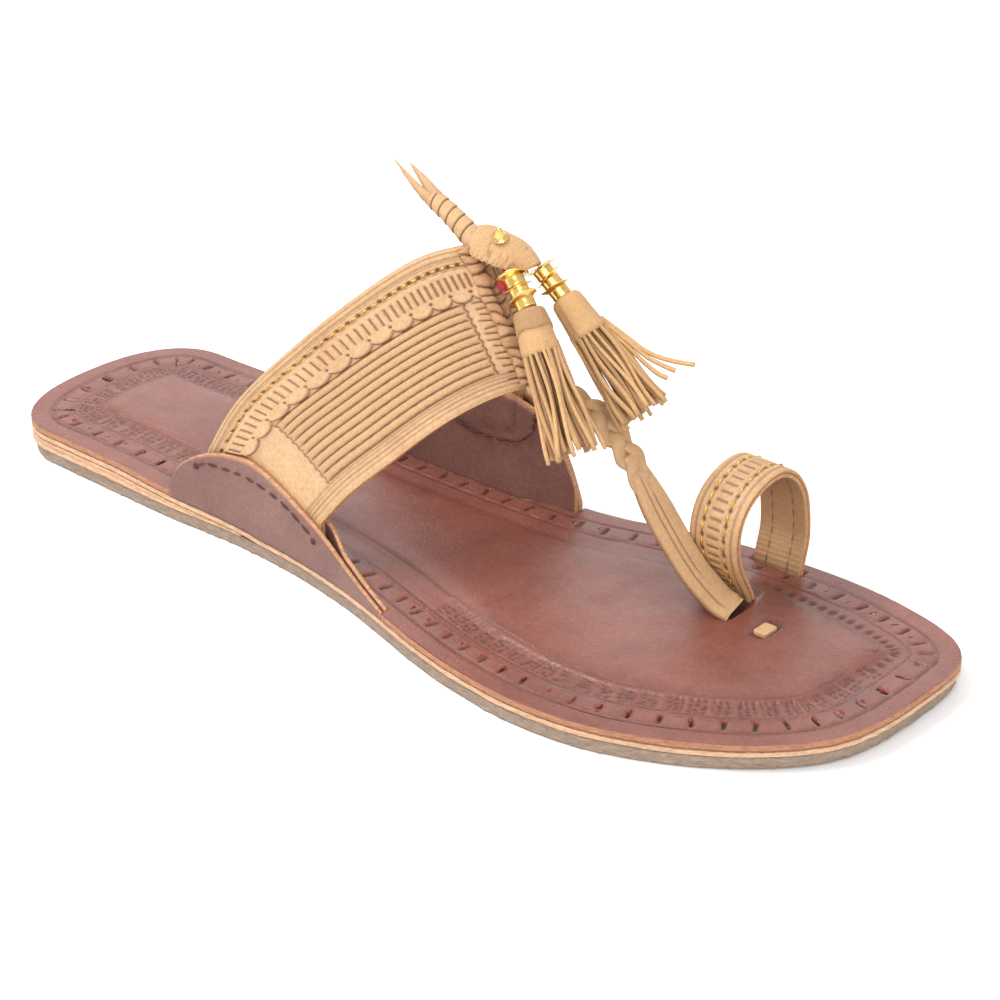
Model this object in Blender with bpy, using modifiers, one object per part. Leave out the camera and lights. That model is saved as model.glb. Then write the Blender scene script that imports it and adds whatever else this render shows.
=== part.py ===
"""Kolhapuri sandal for the right foot: layered leather sole, side flaps, ribbed instep band, thong, toe loop, tassels.

Metres, +Z up. +X runs from heel to toe and +Y to the big-toe side. The floor is z = 0.
Everything is worked out with x = 0 at the back of the heel, and the parent empty puts the origin under mid sole.
"""

import math
from collections import namedtuple

import bmesh
import bpy
from mathutils import Matrix, Vector

# Sole
SOLE_LENGTH = 0.255
BALL_WIDTH = 0.090
HEEL_ROUND = 0.020  # length over which the back of the heel rounds off
TOE_ROUND = 0.065  # length over which the toe rounds off
HEEL_POWER = 2.35  # squareness of the heel's back
TOE_POWER = 3.0  # squareness of the toe
OUTSOLE_WALL = 0.0030
MIDSOLE_WALL = 0.0012
INSOLE_WALL = 0.0016
LIFT_HEIGHT = 0.0024
LIFT_FULL = 0.045  # the lift keeps its full height up to here
LIFT_LENGTH = 0.088
LIFT_EDGE = 0.0003  # height of the lift at its thin front end
LIFT_FADE = 0.008  # the layers above settle over this length in front of the lift
TOE_SPRING = 0.0008
SPRING_LENGTH = 0.030
OUTSOLE_INSET = 0.0005
OUTSOLE_UNDERCUT = 0.0006  # how far the rubber's lower edge is cut in at heel and toe
UNDERCUT_LENGTH = 0.040
FOOTBED_RISE = 0.0010
BORDER_DIP = 0.0003  # the stitched border lies a little lower than the rim
RIM_WIDTH = 0.0085
BORDER_WIDTH = 0.0135
FOOTBED_INSET = 0.0180
FOOTBED_FLAT = 0.0225
HEEL_INSET_RUN = 0.050  # inset lines come back to their own places over this length

CLEARANCE = 0.0003  # between pieces that meet

# Side flaps
PLY_WALL = 0.0013
LATERAL_FLAP_START = 0.064
LATERAL_FLAP_LENGTH = 0.078
LATERAL_FLAP_HEIGHT = 0.0201  # above the midsole
MEDIAL_FLAP_START = 0.074
MEDIAL_FLAP_LENGTH = 0.070
MEDIAL_FLAP_HEIGHT = 0.0302
PLY_LEAD = 0.0010  # the inner ply shows this far in front of the outer one
ROOM_RAMP = 0.009  # length over which the plies close together past the band

# Instep band
BAND_WALL = 0.0018
BAND_TOP_REAR = 0.0826  # height of the rear edge over the instep
BAND_TOP_FRONT = 0.0540
BAND_CROWN = 0.0004  # how far the band bulges between its edges
BAND_TUCK = 0.0130  # length of band held between the plies
TUCK_ROUND = 0.0050  # how much shorter the tuck is at its corners
BAND_REVEAL = 0.0003
OVERLAY_RISE = 0.0007
SCALLOP_DEPTH = 0.035  # share of the band's width
SCALLOPS = 13  # on each half of the band
RIBS = 9
RIB_RISE = 0.0006

# Centre seam, tongue and horn
SEAM_HALF = 0.0034
SEAM_THICK = 0.0017
TONGUE_LENGTH = 0.0180
TONGUE_HALF = 0.0047
TONGUE_WALL = 0.0020
TONGUE_DROP = 0.0060
TONGUE_SHIFT = 0.0030  # the tongue lies this far to the big-toe side
HORN_LENGTH = 0.0150
HORN_RISE = 0.0074
HORN_RADIUS = 0.0027
HORN_WRAPS = 6

# Thong
THONG_FROM_TOE = 0.0522
THONG_SLIT_Y = 0.0140
THONG_HALF = 0.0042
THONG_WALL = 0.0019
PLAIT_HALF = 0.0044
PLAIT_THICK = 0.0020
SLIT_SLACK = 0.0005

# Toe loop
LOOP_FROM_TOE = 0.0585
LOOP_WIDTH = 0.0130
LOOP_WALL = 0.0021
LOOP_HEIGHT = 0.0318  # from the midsole to the middle of the strap at the top
LOOP_SPREAD = 0.0270
LOOP_Y = 0.0280

# Tab, stud, knot
TAB_FROM_TOE = 0.0420
TAB_Y = 0.0123
TAB_LENGTH = 0.0050
TAB_WIDTH = 0.0036
TAB_PROUD = 0.0002
STUD_RADIUS = 0.0019
STUD_HEIGHT = 0.0030
KNOT_RADIUS = 0.0016
KNOT_STEM = 0.0060
KNOT_RUN = 0.62  # the knot's place along the tongue
KNOT_SIDE = -0.0022
THREAD_RADIUS = 0.0005

# Beads and tassels
TASSEL_REACH = 0.0400
BEAD_LENGTH = 0.0084
BEAD_RADIUS = 0.0021
FLANGE_RADIUS = 0.0031
FLANGES = 3
CAP_LENGTH = 0.0100
CAP_GAP = 0.0005  # thread between beads and cap
CAP_SHOULDER = 0.0011
CAP_TOP_RADIUS = 0.0036
CAP_RADIUS = 0.0043
FRINGE_RADIUS = 0.0052
STRIPS = 14
STRIP_WIDTH = 0.0014
STRIP_WALL = 0.0009

# Half widths of the sole, as shares of half the ball width, at shares of its length
SoleRow = namedtuple("SoleRow", "along centre half")
SOLE_ROWS = (
    SoleRow(0.00, 0.000, 0.673),
    SoleRow(0.08, 0.000, 0.673),
    SoleRow(0.16, 0.005, 0.679),
    SoleRow(0.25, -0.003, 0.677),
    SoleRow(0.33, 0.000, 0.658),
    SoleRow(0.41, -0.011, 0.669),
    SoleRow(0.49, -0.040, 0.711),
    SoleRow(0.56, -0.078, 0.776),
    SoleRow(0.61, -0.090, 0.843),
    SoleRow(0.66, -0.073, 0.918),
    SoleRow(0.72, -0.047, 0.980),
    SoleRow(0.76, -0.029, 0.993),
    SoleRow(0.81, 0.007, 0.987),
    SoleRow(0.875, 0.078, 0.948),
    SoleRow(0.92, 0.134, 0.915),
    SoleRow(0.965, 0.199, 0.905),
    SoleRow(0.988, 0.239, 0.945),
    SoleRow(1.00, 0.290, 1.020),
)

# Top edge of a flap: height share at shares of the flap's length
FlapRow = namedtuple("FlapRow", "along height")
LATERAL_FLAP_ROWS = (
    FlapRow(0.00, 0.07),
    FlapRow(0.02, 0.30),
    FlapRow(0.06, 0.53),
    FlapRow(0.12, 0.71),
    FlapRow(0.20, 0.86),
    FlapRow(0.29, 0.95),
    FlapRow(0.36, 0.99),
    FlapRow(0.43, 0.94),
    FlapRow(0.50, 0.84),
    FlapRow(0.57, 0.73),
    FlapRow(0.66, 0.60),
    FlapRow(0.73, 0.48),
    FlapRow(0.80, 0.34),
    FlapRow(0.88, 0.21),
    FlapRow(1.00, 0.08),
)
MEDIAL_FLAP_ROWS = (
    FlapRow(0.00, 0.12),
    FlapRow(0.02, 0.34),
    FlapRow(0.08, 0.58),
    FlapRow(0.18, 0.77),
    FlapRow(0.35, 0.93),
    FlapRow(0.55, 1.00),
    FlapRow(0.72, 0.96),
    FlapRow(0.82, 0.86),
    FlapRow(0.90, 0.65),
    FlapRow(0.96, 0.38),
    FlapRow(1.00, 0.09),
)

# The band's edges, as shares of the sole's length, at each turn over the foot in degrees from the lateral base
BandRow = namedtuple("BandRow", "turn rear front")
BAND_ROWS = (
    BandRow(0, 0.298, 0.454),
    BandRow(15, 0.336, 0.484),
    BandRow(35, 0.404, 0.528),
    BandRow(55, 0.462, 0.562),
    BandRow(75, 0.503, 0.590),
    BandRow(90, 0.527, 0.606),
    BandRow(105, 0.520, 0.603),
    BandRow(125, 0.490, 0.590),
    BandRow(145, 0.450, 0.568),
    BandRow(165, 0.395, 0.533),
    BandRow(180, 0.350, 0.498),
)

# Relief across the band, as shares of its width from the rear edge
OVERLAY_START = 0.150
OVERLAY_END = 0.345
RIBS_START = 0.390
RIBS_END = 0.865
RIBS_FROM_TURN = 12
RIBS_TO_TURN = 80

# The thong's way from the band to its slit, as shares of the distances between them, and its section
ThongRow = namedtuple("ThongRow", "run side drop half thick")
THONG_ROWS = (
    ThongRow(0.000, 0.000, 0.000, 0.80, 0.90),
    ThongRow(0.123, 0.100, 0.012, 0.95, 1.00),
    ThongRow(0.247, 0.250, 0.050, 1.00, 1.00),
    ThongRow(0.381, 0.410, 0.165, 0.97, 0.95),
    ThongRow(0.494, 0.490, 0.300, 0.93, 0.80),
    ThongRow(0.658, 0.560, 0.548, 0.95, 0.50),
    ThongRow(0.813, 0.670, 0.775, 0.95, 0.48),
    ThongRow(0.926, 0.850, 0.925, 0.95, 0.48),
    ThongRow(0.985, 0.975, 0.982, 0.95, 0.48),
)

# The toe loop's middle line, as shares of its spread and height
LoopRow = namedtuple("LoopRow", "side height")
LOOP_ROWS = (
    LoopRow(-0.265, 0.00),
    LoopRow(-0.265, 0.08),
    LoopRow(-0.330, 0.20),
    LoopRow(-0.450, 0.39),
    LoopRow(-0.505, 0.60),
    LoopRow(-0.460, 0.78),
    LoopRow(-0.330, 0.91),
    LoopRow(-0.120, 0.985),
    LoopRow(0.100, 0.99),
    LoopRow(0.290, 0.90),
    LoopRow(0.420, 0.75),
    LoopRow(0.480, 0.58),
    LoopRow(0.505, 0.34),
    LoopRow(0.460, 0.16),
    LoopRow(0.435, 0.08),
    LoopRow(0.432, 0.00),
)

# The tongue's middle line, as shares of its length and drop, and its half width
TongueRow = namedtuple("TongueRow", "run drop half")
TONGUE_ROWS = (
    TongueRow(-0.05, 0.05, 0.50),
    TongueRow(0.06, -0.48, 0.75),
    TongueRow(0.18, -0.66, 0.95),
    TongueRow(0.34, -0.67, 1.00),
    TongueRow(0.52, -0.58, 1.00),
    TongueRow(0.72, -0.45, 0.96),
    TongueRow(0.88, -0.18, 0.80),
    TongueRow(1.00, 0.12, 0.52),
)

# Where each tassel hangs, as shares of its reach: bead top, cap end and fringe end from the band's top edge
TasselRow = namedtuple("TasselRow", "name top cap_end fringe_end")
TASSEL_ROWS = (
    TasselRow("near", (0.3925, -0.0450, -0.0600), (0.7125, -0.1325, -0.3775), (1.0200, -0.2500, -0.8825)),
    TasselRow("far", (0.4075, 0.1725, -0.0750), (0.7600, 0.2350, -0.4200), (1.1325, 0.2200, -0.7675)),
)

# The tongue's section, as shares of its half width, wall and droop
TongueSection = namedtuple("TongueSection", "across face droop")
TONGUE_SECTION = (
    TongueSection(-1.0, 0.0, 1.0),
    TongueSection(-0.75, 0.5, 0.5),
    TongueSection(0.0, 0.5, 0.0),
    TongueSection(0.75, 0.5, 0.5),
    TongueSection(1.0, 0.0, 1.0),
    TongueSection(0.75, -0.5, 0.5),
    TongueSection(0.0, -0.5, 0.0),
    TongueSection(-0.75, -0.5, 0.5),
)
TONGUE_DROOP = 0.0026  # how far its sides hang below its ridge
# The horn's two points: where each ends, as shares of the stalk's length from its end, and its root's radius
PointRow = namedtuple("PointRow", "name end root")
POINT_ROWS = (
    PointRow("near", (-0.680, -0.013, 0.307), 0.52),
    PointRow("far", (-0.400, 0.120, 0.347), 0.63),
)
STUD_RUN = 0.52  # the stud's place along the tongue
STUD_SIDE = -0.0019  # from the tongue's ridge


# Places along the sole that are set from the tip of the toe
THONG_SLIT_X = SOLE_LENGTH - THONG_FROM_TOE
LOOP_X = SOLE_LENGTH - LOOP_FROM_TOE
TAB_X = SOLE_LENGTH - TAB_FROM_TOE


def clear_scene():
    for item in list(bpy.data.objects):
        bpy.data.objects.remove(item, do_unlink=True)


def new_collection(name):
    made = bpy.data.collections.new(name)
    bpy.context.scene.collection.children.link(made)
    return made


def material(name, colour, roughness, metallic=0.0):
    made = bpy.data.materials.new(name)
    made.use_nodes = True
    shader = made.node_tree.nodes["Principled BSDF"]
    shader.inputs["Base Color"].default_value = (*colour, 1.0)
    shader.inputs["Roughness"].default_value = roughness
    shader.inputs["Metallic"].default_value = metallic
    return made


def mesh_object(name, points, faces, look, home, smooth_angle=35):
    """A closed mesh as an object, with its faces turned outwards."""
    mesh = bpy.data.meshes.new(name)
    mesh.from_pydata([tuple(point) for point in points], [], faces)
    shell = bmesh.new()
    shell.from_mesh(mesh)
    bmesh.ops.recalc_face_normals(shell, faces=shell.faces)
    shell.to_mesh(mesh)
    shell.free()
    mesh.materials.append(look)
    mesh.shade_smooth()
    mesh.set_sharp_from_angle(angle=math.radians(smooth_angle))
    made = bpy.data.objects.new(name, mesh)
    home.objects.link(made)
    return made


def helper(made):
    """Marks a cutter or a form that is joined into another piece."""
    made.hide_render = True
    made.display_type = "WIRE"
    return made


def boolean(target, other, operation):
    step = target.modifiers.new(f"{operation.lower()} {other.name}", "BOOLEAN")
    step.operation = operation
    step.solver = "EXACT"
    step.object = other


def smooth_at(rows, column, at):
    """A table's column at a place between its rows, on a curve through them all."""
    places = [row[0] for row in rows]
    values = [getattr(row, column) for row in rows]
    last = len(rows) - 1
    i = max(j for j in range(last) if j == 0 or places[j] <= at)
    span = places[i + 1] - places[i]
    share = min(max((at - places[i]) / span, 0.0), 1.0)

    def slope(j):
        before, after = max(j - 1, 0), min(j + 1, last)
        return (values[after] - values[before]) / (places[after] - places[before]) * span

    a, b = values[i], values[i + 1]
    p, q = slope(i), slope(i + 1)
    return (
        a
        + share * p
        + share**2 * (3 * (b - a) - 2 * p - q)
        + share**3 * (2 * (a - b) + p + q)
    )


def curve_through(points, steps):
    """Points on a smooth curve through the given ones, with steps stretches between each two."""
    found = []
    last = len(points) - 1
    for i in range(last):
        before, after = points[max(i - 1, 0)], points[min(i + 2, last)]
        a, b = points[i], points[i + 1]
        p, q = (b - before) / 2, (after - a) / 2
        for k in range(steps):
            t = k / steps
            found.append(a + t * p + t * t * (3 * (b - a) - 2 * p - q) + t**3 * (2 * (a - b) + p + q))
    found.append(points[last].copy())
    return found


def loft(name, loops, look, home, smooth_angle=35):
    """A closed solid through loops of the same number of points, with a flat cap at each end."""
    count = len(loops[0])
    points = [point for loop in loops for point in loop]
    faces = []
    for row in range(len(loops) - 1):
        for i in range(count):
            j = (i + 1) % count
            faces.append(
                (row * count + i, row * count + j, (row + 1) * count + j, (row + 1) * count + i)
            )
    faces.append(tuple(range(count)))
    faces.append(tuple(range((len(loops) - 1) * count, len(loops) * count)))
    return mesh_object(name, points, faces, look, home, smooth_angle)


def ease(share):
    """0 to 1 with level ends."""
    share = min(max(share, 0.0), 1.0)
    return share * share * (3 - 2 * share)


# Sole outline and levels


def end_factor(x):
    """How much of the half width is left near the heel's back or the toe's tip."""
    if x < HEEL_ROUND:
        u = 1 - x / HEEL_ROUND
        return max(1 - u**HEEL_POWER, 0.0) ** (1 / HEEL_POWER)
    start = SOLE_LENGTH - TOE_ROUND
    if x > start:
        u = min((x - start) / TOE_ROUND, 1.0)
        return max(1 - u**TOE_POWER, 0.0) ** (1 / TOE_POWER)
    return 1.0


def sole_half(x, side):
    """Distance from the middle line to the sole's edge, where side is -1 lateral or 1 medial."""
    along = x / SOLE_LENGTH
    centre = smooth_at(SOLE_ROWS, "centre", along)
    half = smooth_at(SOLE_ROWS, "half", along) * end_factor(x)
    return (half + side * centre) * BALL_WIDTH / 2


def spring(x):
    share = max((x - SOLE_LENGTH + SPRING_LENGTH) / SPRING_LENGTH, 0.0)
    return TOE_SPRING * share * share


def lift_rise(x):
    """How far the heel lift and its clearance raise the layers above."""
    edge = LIFT_EDGE + CLEARANCE
    full = LIFT_HEIGHT + CLEARANCE
    if x <= LIFT_FULL:
        return full
    if x <= LIFT_LENGTH:
        return full + (edge - full) * (x - LIFT_FULL) / (LIFT_LENGTH - LIFT_FULL)
    return edge * (1 - ease((x - LIFT_LENGTH) / LIFT_FADE))


def midsole_bottom(x):
    return OUTSOLE_WALL + CLEARANCE + lift_rise(x) + spring(x)


def midsole_top(x):
    return midsole_bottom(x) + MIDSOLE_WALL


def insole_bottom(x):
    return midsole_top(x) + CLEARANCE


def insole_top(x):
    return insole_bottom(x) + INSOLE_WALL


def stations():
    """Places along the sole, closer together where heel and toe round off and at the flaps' ends."""
    found = []
    turns = 6
    for k in range(turns):
        found.append(HEEL_ROUND * (1 - math.cos(math.radians(90 * k / turns)) ** (2 / HEEL_POWER)))
    start = SOLE_LENGTH - TOE_ROUND
    straight = 13
    for k in range(straight):
        found.append(HEEL_ROUND + (start - HEEL_ROUND) * k / straight)
    turns = 9
    for k in range(turns + 1):
        found.append(start + TOE_ROUND * math.sin(math.radians(90 * k / turns)) ** (2 / TOE_POWER))
    for side in (-1, 1):
        low, high = flap_span(side)
        found += [low - CLEARANCE, high + CLEARANCE] + flap_places(side)
    return apart(found)


def apart(places):
    """The places in order, leaving out any that nearly coincide."""
    places = sorted(places)
    kept = [places[0]]
    for x in places[1:]:
        if x - kept[-1] > CLEARANCE / 2:
            kept.append(x)
    return kept


def ring(inset, level, notch=None):
    """Points round the sole, inset from its edge, at level(x): lateral side to the toe, medial side back."""
    places = stations()
    sides = []
    for side in (-1, 1):
        row = []
        for place in places:
            share = place / SOLE_LENGTH
            from_heel = max(1 - place / HEEL_INSET_RUN, 0.0)
            from_toe = max((place - SOLE_LENGTH + TOE_ROUND) / TOE_ROUND, 0.0)
            x = place + inset * (from_heel - from_toe)
            centre = smooth_at(SOLE_ROWS, "centre", share) * BALL_WIDTH / 2
            half = smooth_at(SOLE_ROWS, "half", share) * BALL_WIDTH / 2
            cut = max(inset, notch(place, side)) if notch else inset
            row.append(Vector((x, centre + side * (half - cut) * end_factor(place), level(x))))
        sides.append(row)
    return sides[0] + sides[1][-2:0:-1]


def slab(name, rings, look, home):
    """A solid whose skin runs from the first ring, across its underside, to the last, across its top."""
    count = len(rings[0])
    points = [point for one in rings for point in one]
    faces = []
    for row in range(len(rings) - 1):
        for i in range(count):
            j = (i + 1) % count
            faces.append(
                (row * count + i, row * count + j, (row + 1) * count + j, (row + 1) * count + i)
            )
    for row in (0, len(rings) - 1):
        first = row * count
        half = count // 2
        faces.append((first, first + 1, first + count - 1))
        for i in range(1, half - 1):
            faces.append((first + i, first + i + 1, first + count - i - 1, first + count - i))
        faces.append((first + half - 1, first + half, first + half + 1))
    return mesh_object(name, points, faces, look, home)


def outsole(look, home):
    def undercut(x):
        from_end = min(x, SOLE_LENGTH - x)
        return OUTSOLE_UNDERCUT * (1 - ease(from_end / UNDERCUT_LENGTH))

    def cut_ring(level):
        outer = ring(OUTSOLE_INSET, level)
        middle = SOLE_LENGTH / 2
        for point in outer:
            pull = undercut(point.x) / BALL_WIDTH * 2
            point.x += pull * (middle - point.x) * BALL_WIDTH / SOLE_LENGTH
            point.y -= pull * point.y
            point.z = level(point.x)
        return outer

    top = ring(OUTSOLE_INSET, lambda x: OUTSOLE_WALL + spring(x))
    return slab("outsole", [cut_ring(spring), top], look, home)


def heel_lift(look, home):
    """The wedge from the heel's back to its thin front end."""
    places = [x for x in stations() if x < LIFT_LENGTH - CLEARANCE] + [LIFT_LENGTH]
    loops = []
    for x in places[1:]:
        low = OUTSOLE_WALL + CLEARANCE
        high = OUTSOLE_WALL + lift_rise(x)
        left, right = -sole_half(x, -1), sole_half(x, 1)
        loops.append(
            [Vector((x, left, low)), Vector((x, right, low)), Vector((x, right, high)), Vector((x, left, high))]
        )
    return loft("heel_lift", loops, look, home)


def midsole(look, home):
    return slab("midsole", [ring(0.0, midsole_bottom), ring(0.0, midsole_top)], look, home)


def slit_box(name, centre, size, home):
    """A cutter that goes right through the insole."""
    bpy.ops.mesh.primitive_cube_add(size=1.0, location=centre)
    made = bpy.context.object
    made.name = name
    made.data.transform(Matrix.Diagonal((*size, 1.0)))
    for collection in list(made.users_collection):
        collection.objects.unlink(made)
    home.objects.link(made)
    return helper(made)


def insole(look, home, cutters):
    def footbed(rise):
        return lambda x: insole_top(x) + rise

    rings = [
        ring(0.0, insole_bottom, flap_notch),
        ring(0.0, insole_top, flap_notch),
        ring(RIM_WIDTH, insole_top, flap_notch),
        ring(BORDER_WIDTH, footbed(-BORDER_DIP)),
        ring(FOOTBED_INSET, footbed(FOOTBED_RISE)),
        ring(FOOTBED_FLAT, footbed(FOOTBED_RISE + BORDER_DIP)),
    ]
    made = slab("insole", rings, look, home)
    depth = 4 * (INSOLE_WALL + FOOTBED_RISE)
    slack = 2 * (CLEARANCE + SLIT_SLACK)
    level = insole_top(THONG_SLIT_X)
    slits = [
        ("thong_slit", (THONG_SLIT_X, THONG_SLIT_Y, level), (THONG_WALL + slack, 2 * THONG_HALF + slack, depth)),
        ("tab_slit", (TAB_X, TAB_Y, level), (TAB_WIDTH + 2 * CLEARANCE, TAB_LENGTH + 2 * CLEARANCE, depth)),
    ]
    for name, row in (("loop_slit_near", LOOP_ROWS[0]), ("loop_slit_far", LOOP_ROWS[-1])):
        place = (LOOP_X, LOOP_Y + row.side * LOOP_SPREAD, level)
        slits.append((name, place, (LOOP_WIDTH + slack, LOOP_WALL + slack, depth)))
    for name, place, size in slits:
        boolean(made, slit_box(name, place, size, cutters), "DIFFERENCE")
    return made


# Side flaps


def flap_span(side):
    if side < 0:
        return LATERAL_FLAP_START, LATERAL_FLAP_START + LATERAL_FLAP_LENGTH
    return MEDIAL_FLAP_START, MEDIAL_FLAP_START + MEDIAL_FLAP_LENGTH


def flap_places(side):
    """Places along a flap where its plies have sections and the insole's notch follows them."""
    low, high = flap_span(side)
    rear, front = band_base(side)
    edge = 3 * CLEARANCE
    found = [low, low + 2 * CLEARANCE, high - 2 * CLEARANCE, high]
    found += [rear - edge - ROOM_RAMP * k / 3 for k in range(3)]
    found += [front + edge + ROOM_RAMP * k / 3 for k in range(4)]
    found += [rear - edge + (front - rear + 2 * edge) * k / 6 for k in range(1, 6)]
    found += [LIFT_LENGTH, LIFT_LENGTH + LIFT_FADE]
    found.append((front + edge + ROOM_RAMP + high) / 2)
    return apart([x for x in found if low <= x <= high])


def flap_top(x, side):
    """Height of a flap's top edge over the floor."""
    low, high = flap_span(side)
    rows = LATERAL_FLAP_ROWS if side < 0 else MEDIAL_FLAP_ROWS
    height = LATERAL_FLAP_HEIGHT if side < 0 else MEDIAL_FLAP_HEIGHT
    return midsole_top(x) + height * smooth_at(rows, "height", (x - low) / (high - low))


def band_base(side):
    """Rear and front x of the band where it goes in between the plies."""
    row = BAND_ROWS[0] if side < 0 else BAND_ROWS[-1]
    return row.rear * SOLE_LENGTH, row.front * SOLE_LENGTH


def ply_room(x, side):
    """Room between the two plies: the band's wall where it is held, closing to a clearance past it."""
    rear, front = band_base(side)
    edge = 3 * CLEARANCE
    outside = max(rear - edge - x, x - front - edge, 0.0)
    open_share = 1 - ease(outside / ROOM_RAMP)
    return CLEARANCE + open_share * (BAND_WALL + CLEARANCE)


def flap_notch(x, side):
    """How far the insole's edge stands back to let the plies pass."""
    low, high = flap_span(side)
    if x < low - CLEARANCE / 2 or x > high + CLEARANCE / 2:
        return 0.0
    return 2 * PLY_WALL + ply_room(x, side) + CLEARANCE


def side_flap(name, side, inner, look, home):
    loops = []
    for x in flap_places(side)[1:-1]:
        start = PLY_WALL + ply_room(x, side) if inner else 0.0
        foot = midsole_top(x) + CLEARANCE
        top = flap_top(x - (PLY_LEAD if inner else 0.0), side)
        outer, inward = (side * (sole_half(x, side) - depth) for depth in (start, start + PLY_WALL))
        loops.append([Vector((x, outer, foot)), Vector((x, outer, top)), Vector((x, inward, top)), Vector((x, inward, foot))])
    return loft(name, loops, look, home)


# Instep band


def band_middle(turn, across):
    """Point on the middle surface of the band. Below 0 and above 180 degrees it is held between the plies."""
    side = -1 if turn < 90 else 1
    rear_base, front_base = band_base(side)
    base_x = rear_base + (front_base - rear_base) * across
    reach = sole_half(base_x, side) - PLY_WALL - CLEARANCE - BAND_WALL / 2
    base_z = flap_top(base_x, side) + BAND_REVEAL
    over = min(max(turn, 0), 180)
    tucked = abs(turn - over) / TUCK_TURN
    if tucked:
        round_off = TUCK_ROUND * (2 * across - 1) ** 2
        return Vector((base_x, side * reach, base_z - tucked * (BAND_TUCK - round_off)))
    rear = smooth_at(BAND_ROWS, "rear", over) * SOLE_LENGTH
    front = smooth_at(BAND_ROWS, "front", over) * SOLE_LENGTH
    top = BAND_TOP_REAR + (BAND_TOP_FRONT - BAND_TOP_REAR) * across
    top += BAND_CROWN * 4 * across * (1 - across)
    angle = math.radians(over)
    return Vector(
        (
            rear + (front - rear) * across,
            -abs(math.cos(angle)) * reach * -side,
            base_z + (top - base_z) * math.sin(angle),
        )
    )


def band_normal(turn, across):
    """Direction out of the foot at a point of the band."""
    low, high = turn - 0.5, turn + 0.5
    if turn <= 0:
        low, high = turn - 0.5, turn
    if turn >= 180:
        low, high = turn, turn + 0.5
    around = band_middle(high, across) - band_middle(low, across)
    back, fore = max(across - 0.02, 0.0), min(across + 0.02, 1.0)
    forward = band_middle(turn, fore) - band_middle(turn, back)
    return forward.cross(around).normalized()


def rib_share(turn):
    """How far the ribs stand up at this turn: they end short of the flaps and of the centre seam."""
    from_base = turn if turn < 90 else 180 - turn
    rise = ease((from_base - RIBS_FROM_TURN) / 4)
    fall = ease((RIBS_TO_TURN - from_base) / 4)
    return rise * fall


def band_profile(turn, scallop):
    """Rows of (across, rise) over the outer face, from the rear edge to the front edge."""
    worn = 1.0 if 0 < turn < 180 else 0.0
    step = 0.004
    end = OVERLAY_END + SCALLOP_DEPTH * scallop
    rows = [
        (0.0, -BAND_WALL / 4),
        (0.03, 0.0),
        (OVERLAY_START, 0.0),
        (OVERLAY_START + step, OVERLAY_RISE * worn),
        (end - step, OVERLAY_RISE * worn),
        (end, 0.0),
    ]
    pitch = (RIBS_END - RIBS_START) / RIBS
    height = RIB_RISE * rib_share(turn)
    for k in range(RIBS):
        start = RIBS_START + k * pitch
        rows.append((start + 0.1 * pitch, 0.0))
        rows.append((start + 0.5 * pitch, height))
    rows += [(RIBS_END, 0.0), (0.97, 0.0), (1.0, -BAND_WALL / 4)]
    return rows


TUCK_TURN = 10  # the tucked ends, in the same degrees as the turn over the foot


def band_turns():
    """Turns of the band's sections, each with its scallop: 0 in a notch, 1 on a lobe."""
    per_half = 2 * SCALLOPS
    found = [(-TUCK_TURN, 0.5), (-TUCK_TURN / 2, 0.5)]
    for k in range(2 * per_half + 1):
        found.append((90 * k / per_half, k % 2))
    found += [(180 + TUCK_TURN / 2, 0.5), (180 + TUCK_TURN, 0.5)]
    return found


def band_loop(turn, scallop):
    loop = []
    for across, rise in band_profile(turn, scallop):
        out = band_normal(turn, across) * (BAND_WALL / 2 + rise)
        loop.append(band_middle(turn, across) + out)
    for across in (1.0, 0.75, 0.5, 0.25, 0.0):
        out = band_normal(turn, across) * (-BAND_WALL / 2)
        loop.append(band_middle(turn, across) + out)
    return loop


def crown(across, out=0.0):
    """A point on the band's centre line, over the instep."""
    return band_middle(90, across) + band_normal(90, across) * out


# Forms that are joined to the band


def oval_loop(centre, along, half, thick, sides=8, twist=0.0):
    """A flattened ring round a path, wide across the foot."""
    wide = (Vector((0, 1, 0)) - along * along.y).normalized()
    flat = wide.cross(along).normalized()
    loop = []
    for k in range(sides):
        angle = 2 * math.pi * (k + 0.5) / sides + twist
        loop.append(centre + wide * (half * math.cos(angle)) + flat * (thick * math.sin(angle)))
    return loop


def path_loft(name, path, sections, look, home, sides=8):
    loops = []
    for i, point in enumerate(path):
        along = (path[min(i + 1, len(path) - 1)] - path[max(i - 1, 0)]).normalized()
        half, thick = sections[i]
        loops.append(oval_loop(point, along, half, thick, sides))
    return loft(name, loops, look, home)


def thong_path():
    """The thong's middle line from the front of the band to its slit, and its half width and thickness."""
    start = crown(1.0)
    end = Vector((THONG_SLIT_X, THONG_SLIT_Y, insole_top(THONG_SLIT_X) + FOOTBED_RISE))
    gap = end - start
    points = [
        Vector((start.x + row.run * gap.x, start.y + row.side * gap.y, start.z + row.drop * gap.z))
        for row in THONG_ROWS
    ]
    foot = Vector((THONG_SLIT_X, THONG_SLIT_Y, midsole_top(THONG_SLIT_X) + 1.5 * CLEARANCE))
    points += [end + Vector((0.0001, 0, 0)), foot]
    return points


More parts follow.
